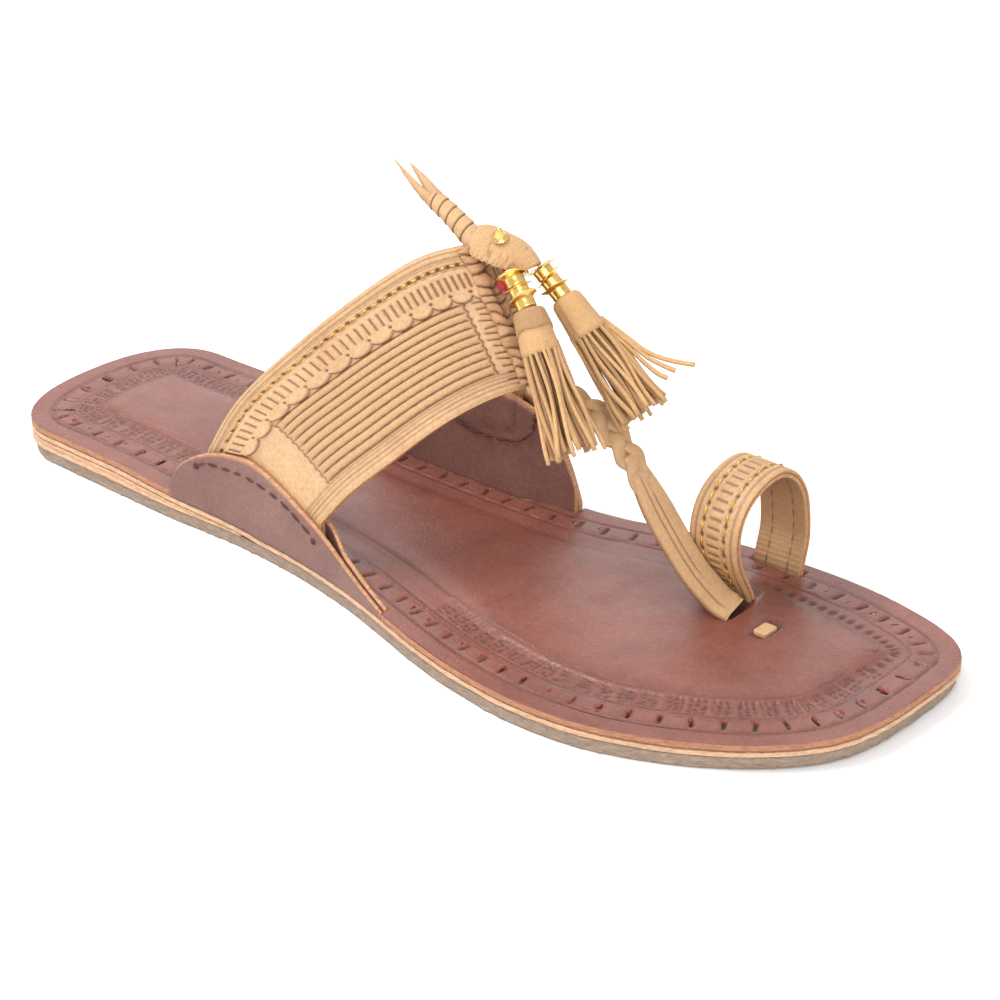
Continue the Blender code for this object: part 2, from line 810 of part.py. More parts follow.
def thong(look, home):
    """Gathered seam over the band, plaited thong and flat strap, with a lobe for each turn of the plait."""
    seam_points = [crown(0.10 + 0.82 * k / 8, BAND_WALL / 2) for k in range(9)]
    points = thong_path()
    steps = 3
    run = curve_through(points, steps)
    sections = []
    for k in range(len(seam_points)):
        pucker = 1 + 0.10 * (-1) ** k
        sections.append((SEAM_HALF * pucker, SEAM_THICK * pucker))
    for i in range(len(run)):
        share = min(i / steps, len(THONG_ROWS) - 1)
        low = int(share)
        high = min(low + 1, len(THONG_ROWS) - 1)
        mix = share - low
        half = THONG_ROWS[low].half * (1 - mix) + THONG_ROWS[high].half * mix
        thick = THONG_ROWS[low].thick * (1 - mix) + THONG_ROWS[high].thick * mix
        plaited = 1 - ease((i - 3.5 * steps) / steps)
        lobe = 1 + 0.10 * plaited * (-1) ** i
        sections.append((PLAIT_HALF * half * lobe, PLAIT_THICK * thick * lobe))
    return helper(path_loft("thong_form", seam_points + run, sections, look, home))


def tongue_point(row_or_run, side, out):
    """A point on the tongue: run along it, side across the foot, out of its face."""
    base = crown(0.0)
    run = row_or_run
    drop = smooth_at(TONGUE_ROWS, "drop", run)
    ahead = smooth_at(TONGUE_ROWS, "drop", min(run + 0.05, 1.0)) - smooth_at(TONGUE_ROWS, "drop", run - 0.05)
    width = min(run + 0.05, 1.0) - (run - 0.05)
    along = Vector((TONGUE_LENGTH * width, 0, -TONGUE_DROP * ahead)).normalized()
    normal = Vector((-along.z, 0, along.x))
    centre = base + Vector((TONGUE_LENGTH * run, TONGUE_SHIFT * (0.85 + 0.35 * run), -TONGUE_DROP * drop))
    return centre + Vector((0, side, 0)) + normal * out


def tongue(look, home):
    loops = []
    count = 10
    first, last = TONGUE_ROWS[0].run, TONGUE_ROWS[-1].run
    for k in range(count + 1):
        run = first + (last - first) * k / count
        half = TONGUE_HALF * smooth_at(TONGUE_ROWS, "half", run)
        loop = []
        for row in TONGUE_SECTION:
            droop = row.droop * TONGUE_DROOP * half / TONGUE_HALF
            loop.append(tongue_point(run, row.across * half, row.face * TONGUE_WALL - droop))
        loops.append(loop)
    return helper(loft("tongue_form", loops, look, home))


def horn(look, home):
    """The wrapped stalk behind the band's top edge, and the root of its two points."""
    start = crown(0.06, BAND_WALL) + Vector((0, 0.9 * TONGUE_SHIFT, 0))
    path = []
    sections = []
    count = 2 * HORN_WRAPS
    for k in range(count + 1):
        share = k / count
        lift = HORN_RISE * math.sin(math.radians(60) * share) / math.sin(math.radians(60))
        path.append(start + Vector((-HORN_LENGTH * share, 0.001 * share, lift)))
        radius = HORN_RADIUS * (1 - 0.22 * share) * (1.08 if k % 2 else 0.94)
        sections.append((radius, radius))
    return helper(path_loft("horn_form", path, sections, look, home)), path[-1]


def horn_point(row, root, look, home):
    """One pointed tip: a tapered strip that leaves the stalk."""
    end = Vector(row.end) * HORN_LENGTH
    root_radius = row.root * HORN_RADIUS
    path = []
    sections = []
    count = 5
    for k in range(count + 1):
        share = k / count
        side = Vector((0, 0.35 * root_radius * (1 if row.end[1] > 0 else -1), 0))
        path.append(root - end * 0.22 + side + (end * 1.22 - side) * share)
        radius = root_radius * (1 - 0.8 * share)
        sections.append((radius, radius * 1.15))
    return helper(path_loft(f"horn_point_{row.name}", path, sections, look, home, sides=6))


def upper(look, home, cutters):
    loops = [band_loop(turn, scallop) for turn, scallop in band_turns()]
    made = loft("upper", loops, look, home)
    stalk, tip = horn(look, cutters)
    forms = [thong(look, cutters), tongue(look, cutters), stalk]
    forms += [horn_point(row, tip, look, cutters) for row in POINT_ROWS]
    for form in forms:
        boolean(made, form, "UNION")
    return made


# Toe loop, tab, stud and knot


def toe_loop(look, home):
    """A strip bent round the big toe, thickened by Solidify."""
    base = midsole_top(LOOP_X) + CLEARANCE
    height = LOOP_HEIGHT
    middle = [Vector((LOOP_X, LOOP_Y + row.side * LOOP_SPREAD, base + row.height * height)) for row in LOOP_ROWS]
    path = curve_through(middle, 3)
    points = []
    faces = []
    for point in path:
        for across in (-0.5, -0.44, 0.44, 0.5):
            points.append(point + Vector((across * LOOP_WIDTH, 0, 0)))
    for row in range(len(path) - 1):
        for i in range(3):
            a = row * 4 + i
            faces.append((a, a + 1, a + 5, a + 4))
    mesh = bpy.data.meshes.new("toe_loop")
    mesh.from_pydata([tuple(point) for point in points], [], faces)
    mesh.materials.append(look)
    mesh.shade_smooth()
    made = bpy.data.objects.new("toe_loop", mesh)
    home.objects.link(made)
    wall = made.modifiers.new("strap wall", "SOLIDIFY")
    wall.thickness = LOOP_WALL
    wall.offset = 0.0
    wall.use_even_offset = True
    return made


def thong_tab(look, home):
    low = midsole_top(TAB_X) + CLEARANCE
    high = insole_top(TAB_X) + FOOTBED_RISE + BORDER_DIP + TAB_PROUD
    bpy.ops.mesh.primitive_cube_add(size=1.0, location=(TAB_X, TAB_Y, (low + high) / 2))
    made = bpy.context.object
    made.name = "thong_tab"
    made.data.transform(Matrix.Diagonal((TAB_WIDTH, TAB_LENGTH, high - low, 1.0)))
    made.data.materials.append(look)
    for collection in list(made.users_collection):
        collection.objects.unlink(made)
    home.objects.link(made)
    return made


def turned(name, profile, steps, look, home):
    """A solid turned round its own Z axis, from a profile that runs down its outer side."""
    mesh = bpy.data.meshes.new(name)
    mesh.from_pydata([(r, 0, z) for r, z in profile], [(i, i + 1) for i in range(len(profile) - 1)], [])
    mesh.materials.append(look)
    made = bpy.data.objects.new(name, mesh)
    home.objects.link(made)
    spin = made.modifiers.new("turn", "SCREW")
    spin.steps = steps
    spin.render_steps = steps
    spin.use_merge_vertices = True
    spin.merge_threshold = 0.00001
    spin.use_smooth_shade = True
    return made


def point_along(made, place, direction):
    """Puts a turned solid at a place, with its Z axis along a direction."""
    made.rotation_mode = "QUATERNION"
    made.rotation_quaternion = direction.to_track_quat("Z", "Y")
    made.location = place


def cone_stud(look, home):
    profile = [
        (0.0, STUD_HEIGHT),
        (0.30 * STUD_RADIUS, 0.93 * STUD_HEIGHT),
        (0.52 * STUD_RADIUS, 0.62 * STUD_HEIGHT),
        (0.72 * STUD_RADIUS, 0.22 * STUD_HEIGHT),
        (STUD_RADIUS, 0.12 * STUD_HEIGHT),
        (STUD_RADIUS, 0.0),
        (0.0, 0.0),
    ]
    made = turned("cone_stud", profile, 14, look, home)
    fall = 0.5 * TONGUE_DROOP / (0.75 * TONGUE_HALF)
    ridge = tongue_point(STUD_RUN, 0.0, 0.5 * TONGUE_WALL)
    up = (tongue_point(STUD_RUN, 0.0, TONGUE_WALL) - ridge).normalized()
    lean = (up + Vector((0.0, -fall, 0.0))).normalized()
    seat = ridge + Vector((0.0, STUD_SIDE, 0.0)) + up * (STUD_SIDE * fall)
    point_along(made, seat + lean * CLEARANCE, lean)
    return made


def red_knot(look, home):
    """A ball of thread that hangs on a short stem under the tongue."""
    count = 6
    profile = [(0.0, 0.0), (THREAD_RADIUS, 0.0)]
    middle = -KNOT_STEM - 0.85 * KNOT_RADIUS
    for k in range(1, count + 1):
        angle = math.pi * k / count
        profile.append((KNOT_RADIUS * math.sin(angle), middle + KNOT_RADIUS * math.cos(angle)))
    profile[-1] = (0.0, middle - KNOT_RADIUS)
    made = turned("red_knot", profile, 10, look, home)
    made.location = tongue_point(KNOT_RUN, KNOT_SIDE, -0.5 * TONGUE_WALL - 0.35 * TONGUE_DROOP) - Vector((0, 0, 2 * CLEARANCE))
    return made


# Beads and tassels


def tassel_line(row):
    """Bead top, cap end and fringe end in the sandal's frame."""
    base = crown(0.0)
    return [base + Vector(offset) * TASSEL_REACH for offset in row[1:]]


def bead_stack(row, look, home):
    top, cap_end, _ = tassel_line(row)
    profile = [(0.0, 0.0)]
    pitch = BEAD_LENGTH / FLANGES
    for k in range(FLANGES):
        z = -k * pitch
        profile += [
            (0.75 * FLANGE_RADIUS if k == 0 else FLANGE_RADIUS, z - 0.00 * pitch),
            (FLANGE_RADIUS, z - 0.16 * pitch),
            (BEAD_RADIUS, z - 0.28 * pitch),
            (BEAD_RADIUS, z - 0.92 * pitch),
        ]
    profile += [(BEAD_RADIUS, -BEAD_LENGTH), (0.0, -BEAD_LENGTH)]
    made = turned(f"bead_stack_{row.name}", profile, 14, look, home)
    point_along(made, top, (top - cap_end).normalized())
    return made


def strip_mesh(points, faces, angle, length, splay):
    """Adds one hanging strip to the lists: it leaves the cap and spreads towards its cut end."""
    steps = 3
    first = len(points)
    radial = Vector((math.cos(angle), math.sin(angle), 0))
    tangent = Vector((-math.sin(angle), math.cos(angle), 0))
    for k in range(steps + 1):
        share = k / steps
        reach = CAP_RADIUS - 0.35 * STRIP_WALL + (FRINGE_RADIUS * splay - CAP_RADIUS) * share**1.2
        centre = radial * reach + Vector((0, 0, -CAP_LENGTH * 0.93 - (length + CAP_LENGTH * 0.07) * share))
        for wide, deep in ((-1, -1), (1, -1), (1, 1), (-1, 1)):
            points.append(centre + tangent * (wide * STRIP_WIDTH / 2) + radial * (deep * STRIP_WALL / 2))
    for k in range(steps):
        for i in range(4):
            a, b = first + 4 * k + i, first + 4 * k + (i + 1) % 4
            faces.append((a, b, b + 4, a + 4))
    faces.append((first, first + 1, first + 2, first + 3))
    end = first + 4 * steps
    faces.append((end, end + 1, end + 2, end + 3))


def tassel(row, look, home, cutters):
    """Rolled cap and core turned in one, with the cut strips joined on."""
    top, cap_end, fringe_end = tassel_line(row)
    axis = (top - cap_end).normalized()
    cap_top = top - axis * (BEAD_LENGTH + CAP_GAP)
    hang = (cap_top - fringe_end).normalized()
    fringe = (cap_top - fringe_end).length - CAP_LENGTH
    core_end = -CAP_LENGTH - 0.80 * fringe
    profile = [
        (0.0, 0.0),
        (0.5 * CAP_TOP_RADIUS, -0.1 * CAP_SHOULDER),
        (CAP_TOP_RADIUS, -CAP_SHOULDER),
        (CAP_RADIUS, -CAP_LENGTH),
        (CAP_RADIUS * 0.86, -CAP_LENGTH * 1.02),
        (FRINGE_RADIUS * 0.80, core_end),
        (0.0, core_end),
    ]
    made = turned(f"tassel_{row.name}", profile, 16, look, home)
    point_along(made, cap_top, hang)
    points = []
    faces = []
    for k in range(STRIPS):
        uneven = math.sin(2.4 * k + (1.0 if row.name == "far" else 0.0))
        strip_mesh(points, faces, 2 * math.pi * k / STRIPS, fringe * (1 + 0.06 * uneven), 1 + 0.08 * uneven)
    strips = helper(mesh_object(f"strips_{row.name}", points, faces, look, cutters))
    point_along(strips, cap_top, hang)
    boolean(made, strips, "UNION")
    return made


def main():
    clear_scene()
    home = new_collection("kolhapuri_sandal")
    cutters = new_collection("cutters")
    brown = material("brown leather", (0.25, 0.09, 0.07), 0.45)
    flap_brown = material("flap leather", (0.22, 0.11, 0.09), 0.55)
    pale = material("pale leather edge", (0.72, 0.46, 0.30), 0.75)
    tan = material("tan leather", (0.66, 0.42, 0.23), 0.60)
    suede = material("suede", (0.48, 0.29, 0.16), 0.90)
    rubber = material("taupe rubber", (0.35, 0.29, 0.23), 0.85)
    gold = material("gold", (0.83, 0.58, 0.20), 0.20, 1.0)
    red = material("red thread", (0.50, 0.02, 0.03), 0.60)

    outsole(rubber, home)
    heel_lift(pale, home)
    midsole(pale, home)
    insole(brown, home, cutters)
    for side, name in ((-1, "lateral"), (1, "medial")):
        side_flap(f"side_flap_{name}_outer", side, False, flap_brown, home)
        side_flap(f"side_flap_{name}_inner", side, True, flap_brown, home)
    upper(tan, home, cutters)
    toe_loop(tan, home)
    thong_tab(suede, home)
    cone_stud(gold, home)
    red_knot(red, home)
    for row in TASSEL_ROWS:
        bead_stack(row, gold, home)
        tassel(row, suede, home, cutters)

    origin = bpy.data.objects.new("sandal", None)
    home.objects.link(origin)
    origin.location = (-SOLE_LENGTH / 2, 0, 0)
    for item in list(home.objects) + list(cutters.objects):
        if item is not origin:
            item.parent = origin


main()
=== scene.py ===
"""Kolhapuri sandal: the visual model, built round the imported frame.

Metres, +Z up, origin on the floor under the middle of the sole.
"""

import math
from collections import namedtuple

import bmesh
import bpy
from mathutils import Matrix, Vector, kdtree, noise

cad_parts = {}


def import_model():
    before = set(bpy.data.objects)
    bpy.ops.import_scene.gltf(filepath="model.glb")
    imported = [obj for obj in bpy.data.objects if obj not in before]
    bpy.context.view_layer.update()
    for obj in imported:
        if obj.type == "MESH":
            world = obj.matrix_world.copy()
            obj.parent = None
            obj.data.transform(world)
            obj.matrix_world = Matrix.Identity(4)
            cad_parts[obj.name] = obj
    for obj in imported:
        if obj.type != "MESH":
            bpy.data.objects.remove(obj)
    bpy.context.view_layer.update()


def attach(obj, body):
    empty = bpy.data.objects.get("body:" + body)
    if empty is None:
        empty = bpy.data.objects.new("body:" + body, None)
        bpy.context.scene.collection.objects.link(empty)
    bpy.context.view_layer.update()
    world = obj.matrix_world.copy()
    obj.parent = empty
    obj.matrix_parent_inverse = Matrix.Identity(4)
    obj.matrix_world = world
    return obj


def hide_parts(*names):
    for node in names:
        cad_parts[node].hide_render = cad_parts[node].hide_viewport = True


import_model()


# Sole
SOLE_LENGTH = 0.255
BALL_WIDTH = 0.090
HEEL_ROUND = 0.020  # length over which the back of the heel rounds off
TOE_ROUND = 0.065  # length over which the toe rounds off
HEEL_POWER = 2.35  # squareness of the heel's back
TOE_POWER = 3.0  # squareness of the toe
OUTSOLE_WALL = 0.0030
MIDSOLE_WALL = 0.0012
INSOLE_WALL = 0.0016
LIFT_HEIGHT = 0.0024
LIFT_FULL = 0.045  # the lift keeps its full height up to here
LIFT_LENGTH = 0.088
LIFT_EDGE = 0.0003  # height of the lift at its thin front end
LIFT_FADE = 0.008  # the layers above settle over this length in front of the lift
TOE_SPRING = 0.0008
SPRING_LENGTH = 0.030
OUTSOLE_INSET = 0.0005
OUTSOLE_UNDERCUT = 0.0006  # how far the rubber's lower edge is cut in at heel and toe
UNDERCUT_LENGTH = 0.040
FOOTBED_RISE = 0.0010
BORDER_DIP = 0.0003  # the stitched border lies a little lower than the rim
HEEL_INSET_RUN = 0.050  # inset lines come back to their own places over this length

CLEARANCE = 0.0003  # between pieces that meet

# Side flaps
PLY_WALL = 0.0013
LATERAL_FLAP_START = 0.064
LATERAL_FLAP_LENGTH = 0.078
LATERAL_FLAP_HEIGHT = 0.0201  # above the midsole
MEDIAL_FLAP_START = 0.074
MEDIAL_FLAP_LENGTH = 0.070
MEDIAL_FLAP_HEIGHT = 0.0302
PLY_LEAD = 0.0010  # the inner ply shows this far in front of the outer one
ROOM_RAMP = 0.009  # length over which the plies close together past the band

# Instep band
BAND_WALL = 0.0018
BAND_TOP_REAR = 0.0826  # height of the rear edge over the instep
BAND_TOP_FRONT = 0.0540
BAND_CROWN = 0.0004  # how far the band bulges between its edges
BAND_TUCK = 0.0130  # length of band held between the plies
TUCK_ROUND = 0.0050  # how much shorter the tuck is at its corners
BAND_REVEAL = 0.0003
OVERLAY_RISE = 0.0007
SCALLOP_DEPTH = 0.035  # share of the band's width
SCALLOPS = 13  # on each half of the band
RIBS = 9
RIB_RISE = 0.0006

# Centre seam, tongue and horn
SEAM_HALF = 0.0034
SEAM_THICK = 0.0017
TONGUE_LENGTH = 0.0180
TONGUE_HALF = 0.0047
TONGUE_WALL = 0.0020
TONGUE_DROP = 0.0060
TONGUE_SHIFT = 0.0030  # the tongue lies this far to the big-toe side
HORN_LENGTH = 0.0150
HORN_RISE = 0.0074
HORN_RADIUS = 0.0027
HORN_WRAPS = 6

# Thong
THONG_FROM_TOE = 0.0522
THONG_SLIT_Y = 0.0140
THONG_HALF = 0.0042
THONG_WALL = 0.0019
PLAIT_HALF = 0.0044
PLAIT_THICK = 0.0020

# Toe loop
LOOP_FROM_TOE = 0.0585
LOOP_WIDTH = 0.0130
LOOP_WALL = 0.0021
LOOP_HEIGHT = 0.0318  # from the midsole to the middle of the strap at the top
LOOP_SPREAD = 0.0270
LOOP_Y = 0.0280

# Tab, stud, knot
TAB_FROM_TOE = 0.0420
TAB_Y = 0.0123
TAB_LENGTH = 0.0050
TAB_WIDTH = 0.0036
TAB_PROUD = 0.0002
STUD_RADIUS = 0.0019
STUD_HEIGHT = 0.0030
KNOT_RADIUS = 0.0016
KNOT_STEM = 0.0060
KNOT_RUN = 0.62  # the knot's place along the tongue
KNOT_SIDE = -0.0022

# Beads and tassels
TASSEL_REACH = 0.0400
BEAD_LENGTH = 0.0084
BEAD_RADIUS = 0.0021
FLANGE_RADIUS = 0.0031
FLANGES = 3
CAP_LENGTH = 0.0100
CAP_GAP = 0.0005  # thread between beads and cap
CAP_RADIUS = 0.0043
FRINGE_RADIUS = 0.0052

def table(kind, *rows):
    return tuple(kind(*row) for row in rows)


# Middle line and half width of the sole, as shares of half the ball width, at shares of its length
SoleRow = namedtuple("SoleRow", "along centre half")
SOLE_ROWS = table(
    SoleRow,
    (0.00, 0.000, 0.673), (0.08, 0.000, 0.673), (0.16, 0.005, 0.679), (0.25, -0.003, 0.677),
    (0.33, 0.000, 0.658), (0.41, -0.011, 0.669), (0.49, -0.040, 0.711), (0.56, -0.078, 0.776),
    (0.61, -0.090, 0.843), (0.66, -0.073, 0.918), (0.72, -0.047, 0.980), (0.76, -0.029, 0.993),
    (0.81, 0.007, 0.987), (0.875, 0.078, 0.948), (0.92, 0.134, 0.915), (0.965, 0.199, 0.905),
    (0.988, 0.239, 0.945), (1.00, 0.290, 1.020),
)

# Top edge of a flap: height share at shares of the flap's length
FlapRow = namedtuple("FlapRow", "along height")
LATERAL_FLAP_ROWS = table(
    FlapRow,
    (0.00, 0.07), (0.02, 0.30), (0.06, 0.53), (0.12, 0.71), (0.20, 0.86), (0.29, 0.95),
    (0.36, 0.99), (0.43, 0.94), (0.50, 0.84), (0.57, 0.73), (0.66, 0.60), (0.73, 0.48),
    (0.80, 0.34), (0.88, 0.21), (1.00, 0.08),
)
MEDIAL_FLAP_ROWS = table(
    FlapRow,
    (0.00, 0.12), (0.02, 0.34), (0.08, 0.58), (0.18, 0.77), (0.35, 0.93), (0.55, 1.00),
    (0.72, 0.96), (0.82, 0.86), (0.90, 0.65), (0.96, 0.38), (1.00, 0.09),
)

# The band's edges, as shares of the sole's length, at turns over the foot
# in degrees from its lateral base
BandRow = namedtuple("BandRow", "turn rear front")
BAND_ROWS = table(
    BandRow,
    (0, 0.298, 0.454), (15, 0.336, 0.484), (35, 0.404, 0.528), (55, 0.462, 0.562),
    (75, 0.503, 0.590), (90, 0.527, 0.606), (105, 0.520, 0.603), (125, 0.490, 0.590),
    (145, 0.450, 0.568), (165, 0.395, 0.533), (180, 0.350, 0.498),
)

# Relief across the band, as shares of its width from the rear edge
OVERLAY_START = 0.150
OVERLAY_END = 0.345
RIBS_START = 0.390
RIBS_END = 0.865
RIBS_FROM_TURN = 12
RIBS_TO_TURN = 80

# The thong's way from the band to its slit, as shares of the distances between them, and its section
ThongRow = namedtuple("ThongRow", "run side drop half thick")
THONG_ROWS = table(
    ThongRow,
    (0.000, 0.000, 0.000, 0.80, 0.90), (0.123, 0.100, 0.012, 0.95, 1.00),
    (0.247, 0.250, 0.050, 1.00, 1.00), (0.381, 0.410, 0.165, 0.97, 0.95),
    (0.494, 0.490, 0.300, 0.93, 0.80), (0.658, 0.560, 0.548, 0.95, 0.50),
    (0.813, 0.670, 0.775, 0.95, 0.48), (0.926, 0.850, 0.925, 0.95, 0.48),
    (0.985, 0.975, 0.982, 0.95, 0.48),
)

# The toe loop's middle line, as shares of its spread and height
LoopRow = namedtuple("LoopRow", "side height")
LOOP_ROWS = table(
    LoopRow,
    (-0.265, 0.00), (-0.265, 0.08), (-0.330, 0.20), (-0.450, 0.39), (-0.505, 0.60), (-0.460, 0.78),
    (-0.330, 0.91), (-0.120, 0.985), (0.100, 0.99), (0.290, 0.90), (0.420, 0.75), (0.480, 0.58),
    (0.505, 0.34), (0.460, 0.16), (0.435, 0.08), (0.432, 0.00),
)

# The tongue's middle line, as shares of its length and drop, and its half width
TongueRow = namedtuple("TongueRow", "run drop half")
TONGUE_ROWS = table(
    TongueRow,
    (-0.05, 0.05, 0.50), (0.06, -0.48, 0.75), (0.18, -0.66, 0.95), (0.34, -0.67, 1.00),
    (0.52, -0.58, 1.00), (0.72, -0.45, 0.96), (0.88, -0.18, 0.80), (1.00, 0.12, 0.52),
)

# Where each tassel hangs, as shares of its reach: bead top, cap end and fringe end from the band's top edge
TasselRow = namedtuple("TasselRow", "name top cap_end fringe_end")
TASSEL_ROWS = table(
    TasselRow,
    ("near", (0.3925, -0.0450, -0.0600), (0.7125, -0.1325, -0.3775), (1.0200, -0.2500, -0.8825)),
    ("far", (0.4075, 0.1725, -0.0750), (0.7600, 0.2350, -0.4200), (1.1325, 0.2200, -0.7675)),
)

TONGUE_DROOP = 0.0026  # how far its sides hang below its ridge
# The horn's two points: where each ends, as shares of the stalk's length from its end, and its root's radius
PointRow = namedtuple("PointRow", "name end root")
POINT_ROWS = table(
    PointRow,
    ("near", (-0.680, -0.013, 0.307), 0.52), ("far", (-0.400, 0.120, 0.347), 0.63),
)
STUD_RUN = 0.52  # the stud's place along the tongue
STUD_SIDE = -0.0019  # from the tongue's ridge


# Places along the sole that are set from the tip of the toe
THONG_SLIT_X = SOLE_LENGTH - THONG_FROM_TOE
LOOP_X = SOLE_LENGTH - LOOP_FROM_TOE
TAB_X = SOLE_LENGTH - TAB_FROM_TOE
TUCK_TURN = 10  # the tucked ends of the band, in the same degrees as the turn over the foot


# Forms shared with the part's source


def smooth_at(rows, column, at):
    """A table's column at a place between its rows, on a curve through them all."""
    places = [row[0] for row in rows]
    values = [getattr(row, column) for row in rows]
    last = len(rows) - 1
    i = max(j for j in range(last) if j == 0 or places[j] <= at)
    span = places[i + 1] - places[i]
    share = min(max((at - places[i]) / span, 0.0), 1.0)

    def slope(j):
        before, after = max(j - 1, 0), min(j + 1, last)
        return (values[after] - values[before]) / (places[after] - places[before]) * span

    a, b = values[i], values[i + 1]
    p, q = slope(i), slope(i + 1)
    return (
        a
        + share * p
        + share**2 * (3 * (b - a) - 2 * p - q)
        + share**3 * (2 * (a - b) + p + q)
    )


def curve_through(points, steps):
    """Points on a smooth curve through the given ones, with steps stretches between each two."""
    found = []
    last = len(points) - 1
    for i in range(last):
        before, after = points[max(i - 1, 0)], points[min(i + 2, last)]
        a, b = points[i], points[i + 1]
        p, q = (b - before) / 2, (after - a) / 2
        for k in range(steps):
            t = k / steps
            square = t * t * (3 * (b - a) - 2 * p - q)
            found.append(a + t * p + square + t**3 * (2 * (a - b) + p + q))
    found.append(points[last].copy())
    return found


def ease(share):
    """0 to 1 with level ends."""
    share = min(max(share, 0.0), 1.0)
    return share * share * (3 - 2 * share)


def end_factor(x):
    """How much of the half width is left near the heel's back or the toe's tip."""
    if x < HEEL_ROUND:
        u = 1 - x / HEEL_ROUND
        return max(1 - u**HEEL_POWER, 0.0) ** (1 / HEEL_POWER)
    start = SOLE_LENGTH - TOE_ROUND
    if x > start:
        u = min((x - start) / TOE_ROUND, 1.0)
        return max(1 - u**TOE_POWER, 0.0) ** (1 / TOE_POWER)
    return 1.0


def sole_half(x, side):
    """Distance from the middle line to the sole's edge, where side is -1 lateral or 1 medial."""
    along = x / SOLE_LENGTH
    centre = smooth_at(SOLE_ROWS, "centre", along)
    half = smooth_at(SOLE_ROWS, "half", along) * end_factor(x)
    return (half + side * centre) * BALL_WIDTH / 2


def spring(x):
    share = max((x - SOLE_LENGTH + SPRING_LENGTH) / SPRING_LENGTH, 0.0)
    return TOE_SPRING * share * share


def lift_rise(x):
    """How far the heel lift and its clearance raise the layers above."""
    edge = LIFT_EDGE + CLEARANCE
    full = LIFT_HEIGHT + CLEARANCE
    if x <= LIFT_FULL:
        return full
    if x <= LIFT_LENGTH:
        return full + (edge - full) * (x - LIFT_FULL) / (LIFT_LENGTH - LIFT_FULL)
    return edge * (1 - ease((x - LIFT_LENGTH) / LIFT_FADE))


def midsole_bottom(x):
    return OUTSOLE_WALL + CLEARANCE + lift_rise(x) + spring(x)


def midsole_top(x):
    return midsole_bottom(x) + MIDSOLE_WALL


def insole_bottom(x):
    return midsole_top(x) + CLEARANCE


def insole_top(x):
    return insole_bottom(x) + INSOLE_WALL


def flap_span(side):
    if side < 0:
        return LATERAL_FLAP_START, LATERAL_FLAP_START + LATERAL_FLAP_LENGTH
    return MEDIAL_FLAP_START, MEDIAL_FLAP_START + MEDIAL_FLAP_LENGTH


def flap_top(x, side):
    """Height of a flap's top edge over the floor."""
    low, high = flap_span(side)
    rows = LATERAL_FLAP_ROWS if side < 0 else MEDIAL_FLAP_ROWS
    height = LATERAL_FLAP_HEIGHT if side < 0 else MEDIAL_FLAP_HEIGHT
    return midsole_top(x) + height * smooth_at(rows, "height", (x - low) / (high - low))


def band_base(side):
    """Rear and front x of the band where it goes in between the plies."""
    row = BAND_ROWS[0] if side < 0 else BAND_ROWS[-1]
    return row.rear * SOLE_LENGTH, row.front * SOLE_LENGTH


def ply_room(x, side):
    """Room between the two plies: the band's wall where it is held, closing to a clearance past it."""
    rear, front = band_base(side)
    edge = 3 * CLEARANCE
    outside = max(rear - edge - x, x - front - edge, 0.0)
    open_share = 1 - ease(outside / ROOM_RAMP)
    return CLEARANCE + open_share * (BAND_WALL + CLEARANCE)


def flap_notch(x, side):
    """How far the insole's edge stands back to let the plies pass."""
    low, high = flap_span(side)
    if x < low - CLEARANCE / 2 or x > high + CLEARANCE / 2:
        return 0.0
    return 2 * PLY_WALL + ply_room(x, side) + CLEARANCE


def band_middle(turn, across):
    """Point on the band's middle surface. Below 0 and above 180 degrees the plies hold it."""
    side = -1 if turn < 90 else 1
    rear_base, front_base = band_base(side)
    base_x = rear_base + (front_base - rear_base) * across
    reach = sole_half(base_x, side) - PLY_WALL - CLEARANCE - BAND_WALL / 2
    base_z = flap_top(base_x, side) + BAND_REVEAL
    over = min(max(turn, 0), 180)
    tucked = abs(turn - over) / TUCK_TURN
    if tucked:
        round_off = TUCK_ROUND * (2 * across - 1) ** 2
        return Vector((base_x, side * reach, base_z - tucked * (BAND_TUCK - round_off)))
    rear = smooth_at(BAND_ROWS, "rear", over) * SOLE_LENGTH
    front = smooth_at(BAND_ROWS, "front", over) * SOLE_LENGTH
    top = BAND_TOP_REAR + (BAND_TOP_FRONT - BAND_TOP_REAR) * across
    top += BAND_CROWN * 4 * across * (1 - across)
    angle = math.radians(over)
    return Vector(
        (
            rear + (front - rear) * across,
            -abs(math.cos(angle)) * reach * -side,
            base_z + (top - base_z) * math.sin(angle),
        )
    )


def band_normal(turn, across):
    """Direction out of the foot at a point of the band."""
    low, high = turn - 0.5, turn + 0.5
    if turn <= 0:
        low, high = turn - 0.5, turn
    if turn >= 180:
        low, high = turn, turn + 0.5
    around = band_middle(high, across) - band_middle(low, across)
    back, fore = max(across - 0.02, 0.0), min(across + 0.02, 1.0)
    forward = band_middle(turn, fore) - band_middle(turn, back)
    return forward.cross(around).normalized()


def rib_share(turn):
    """How far the ribs stand up at this turn: they end short of the flaps and of the centre seam."""
    from_base = turn if turn < 90 else 180 - turn
    rise = ease((from_base - RIBS_FROM_TURN) / 4)
    fall = ease((RIBS_TO_TURN - from_base) / 4)
    return rise * fall


def crown(across, out=0.0):
    """A point on the band's centre line, over the instep."""
    return band_middle(90, across) + band_normal(90, across) * out


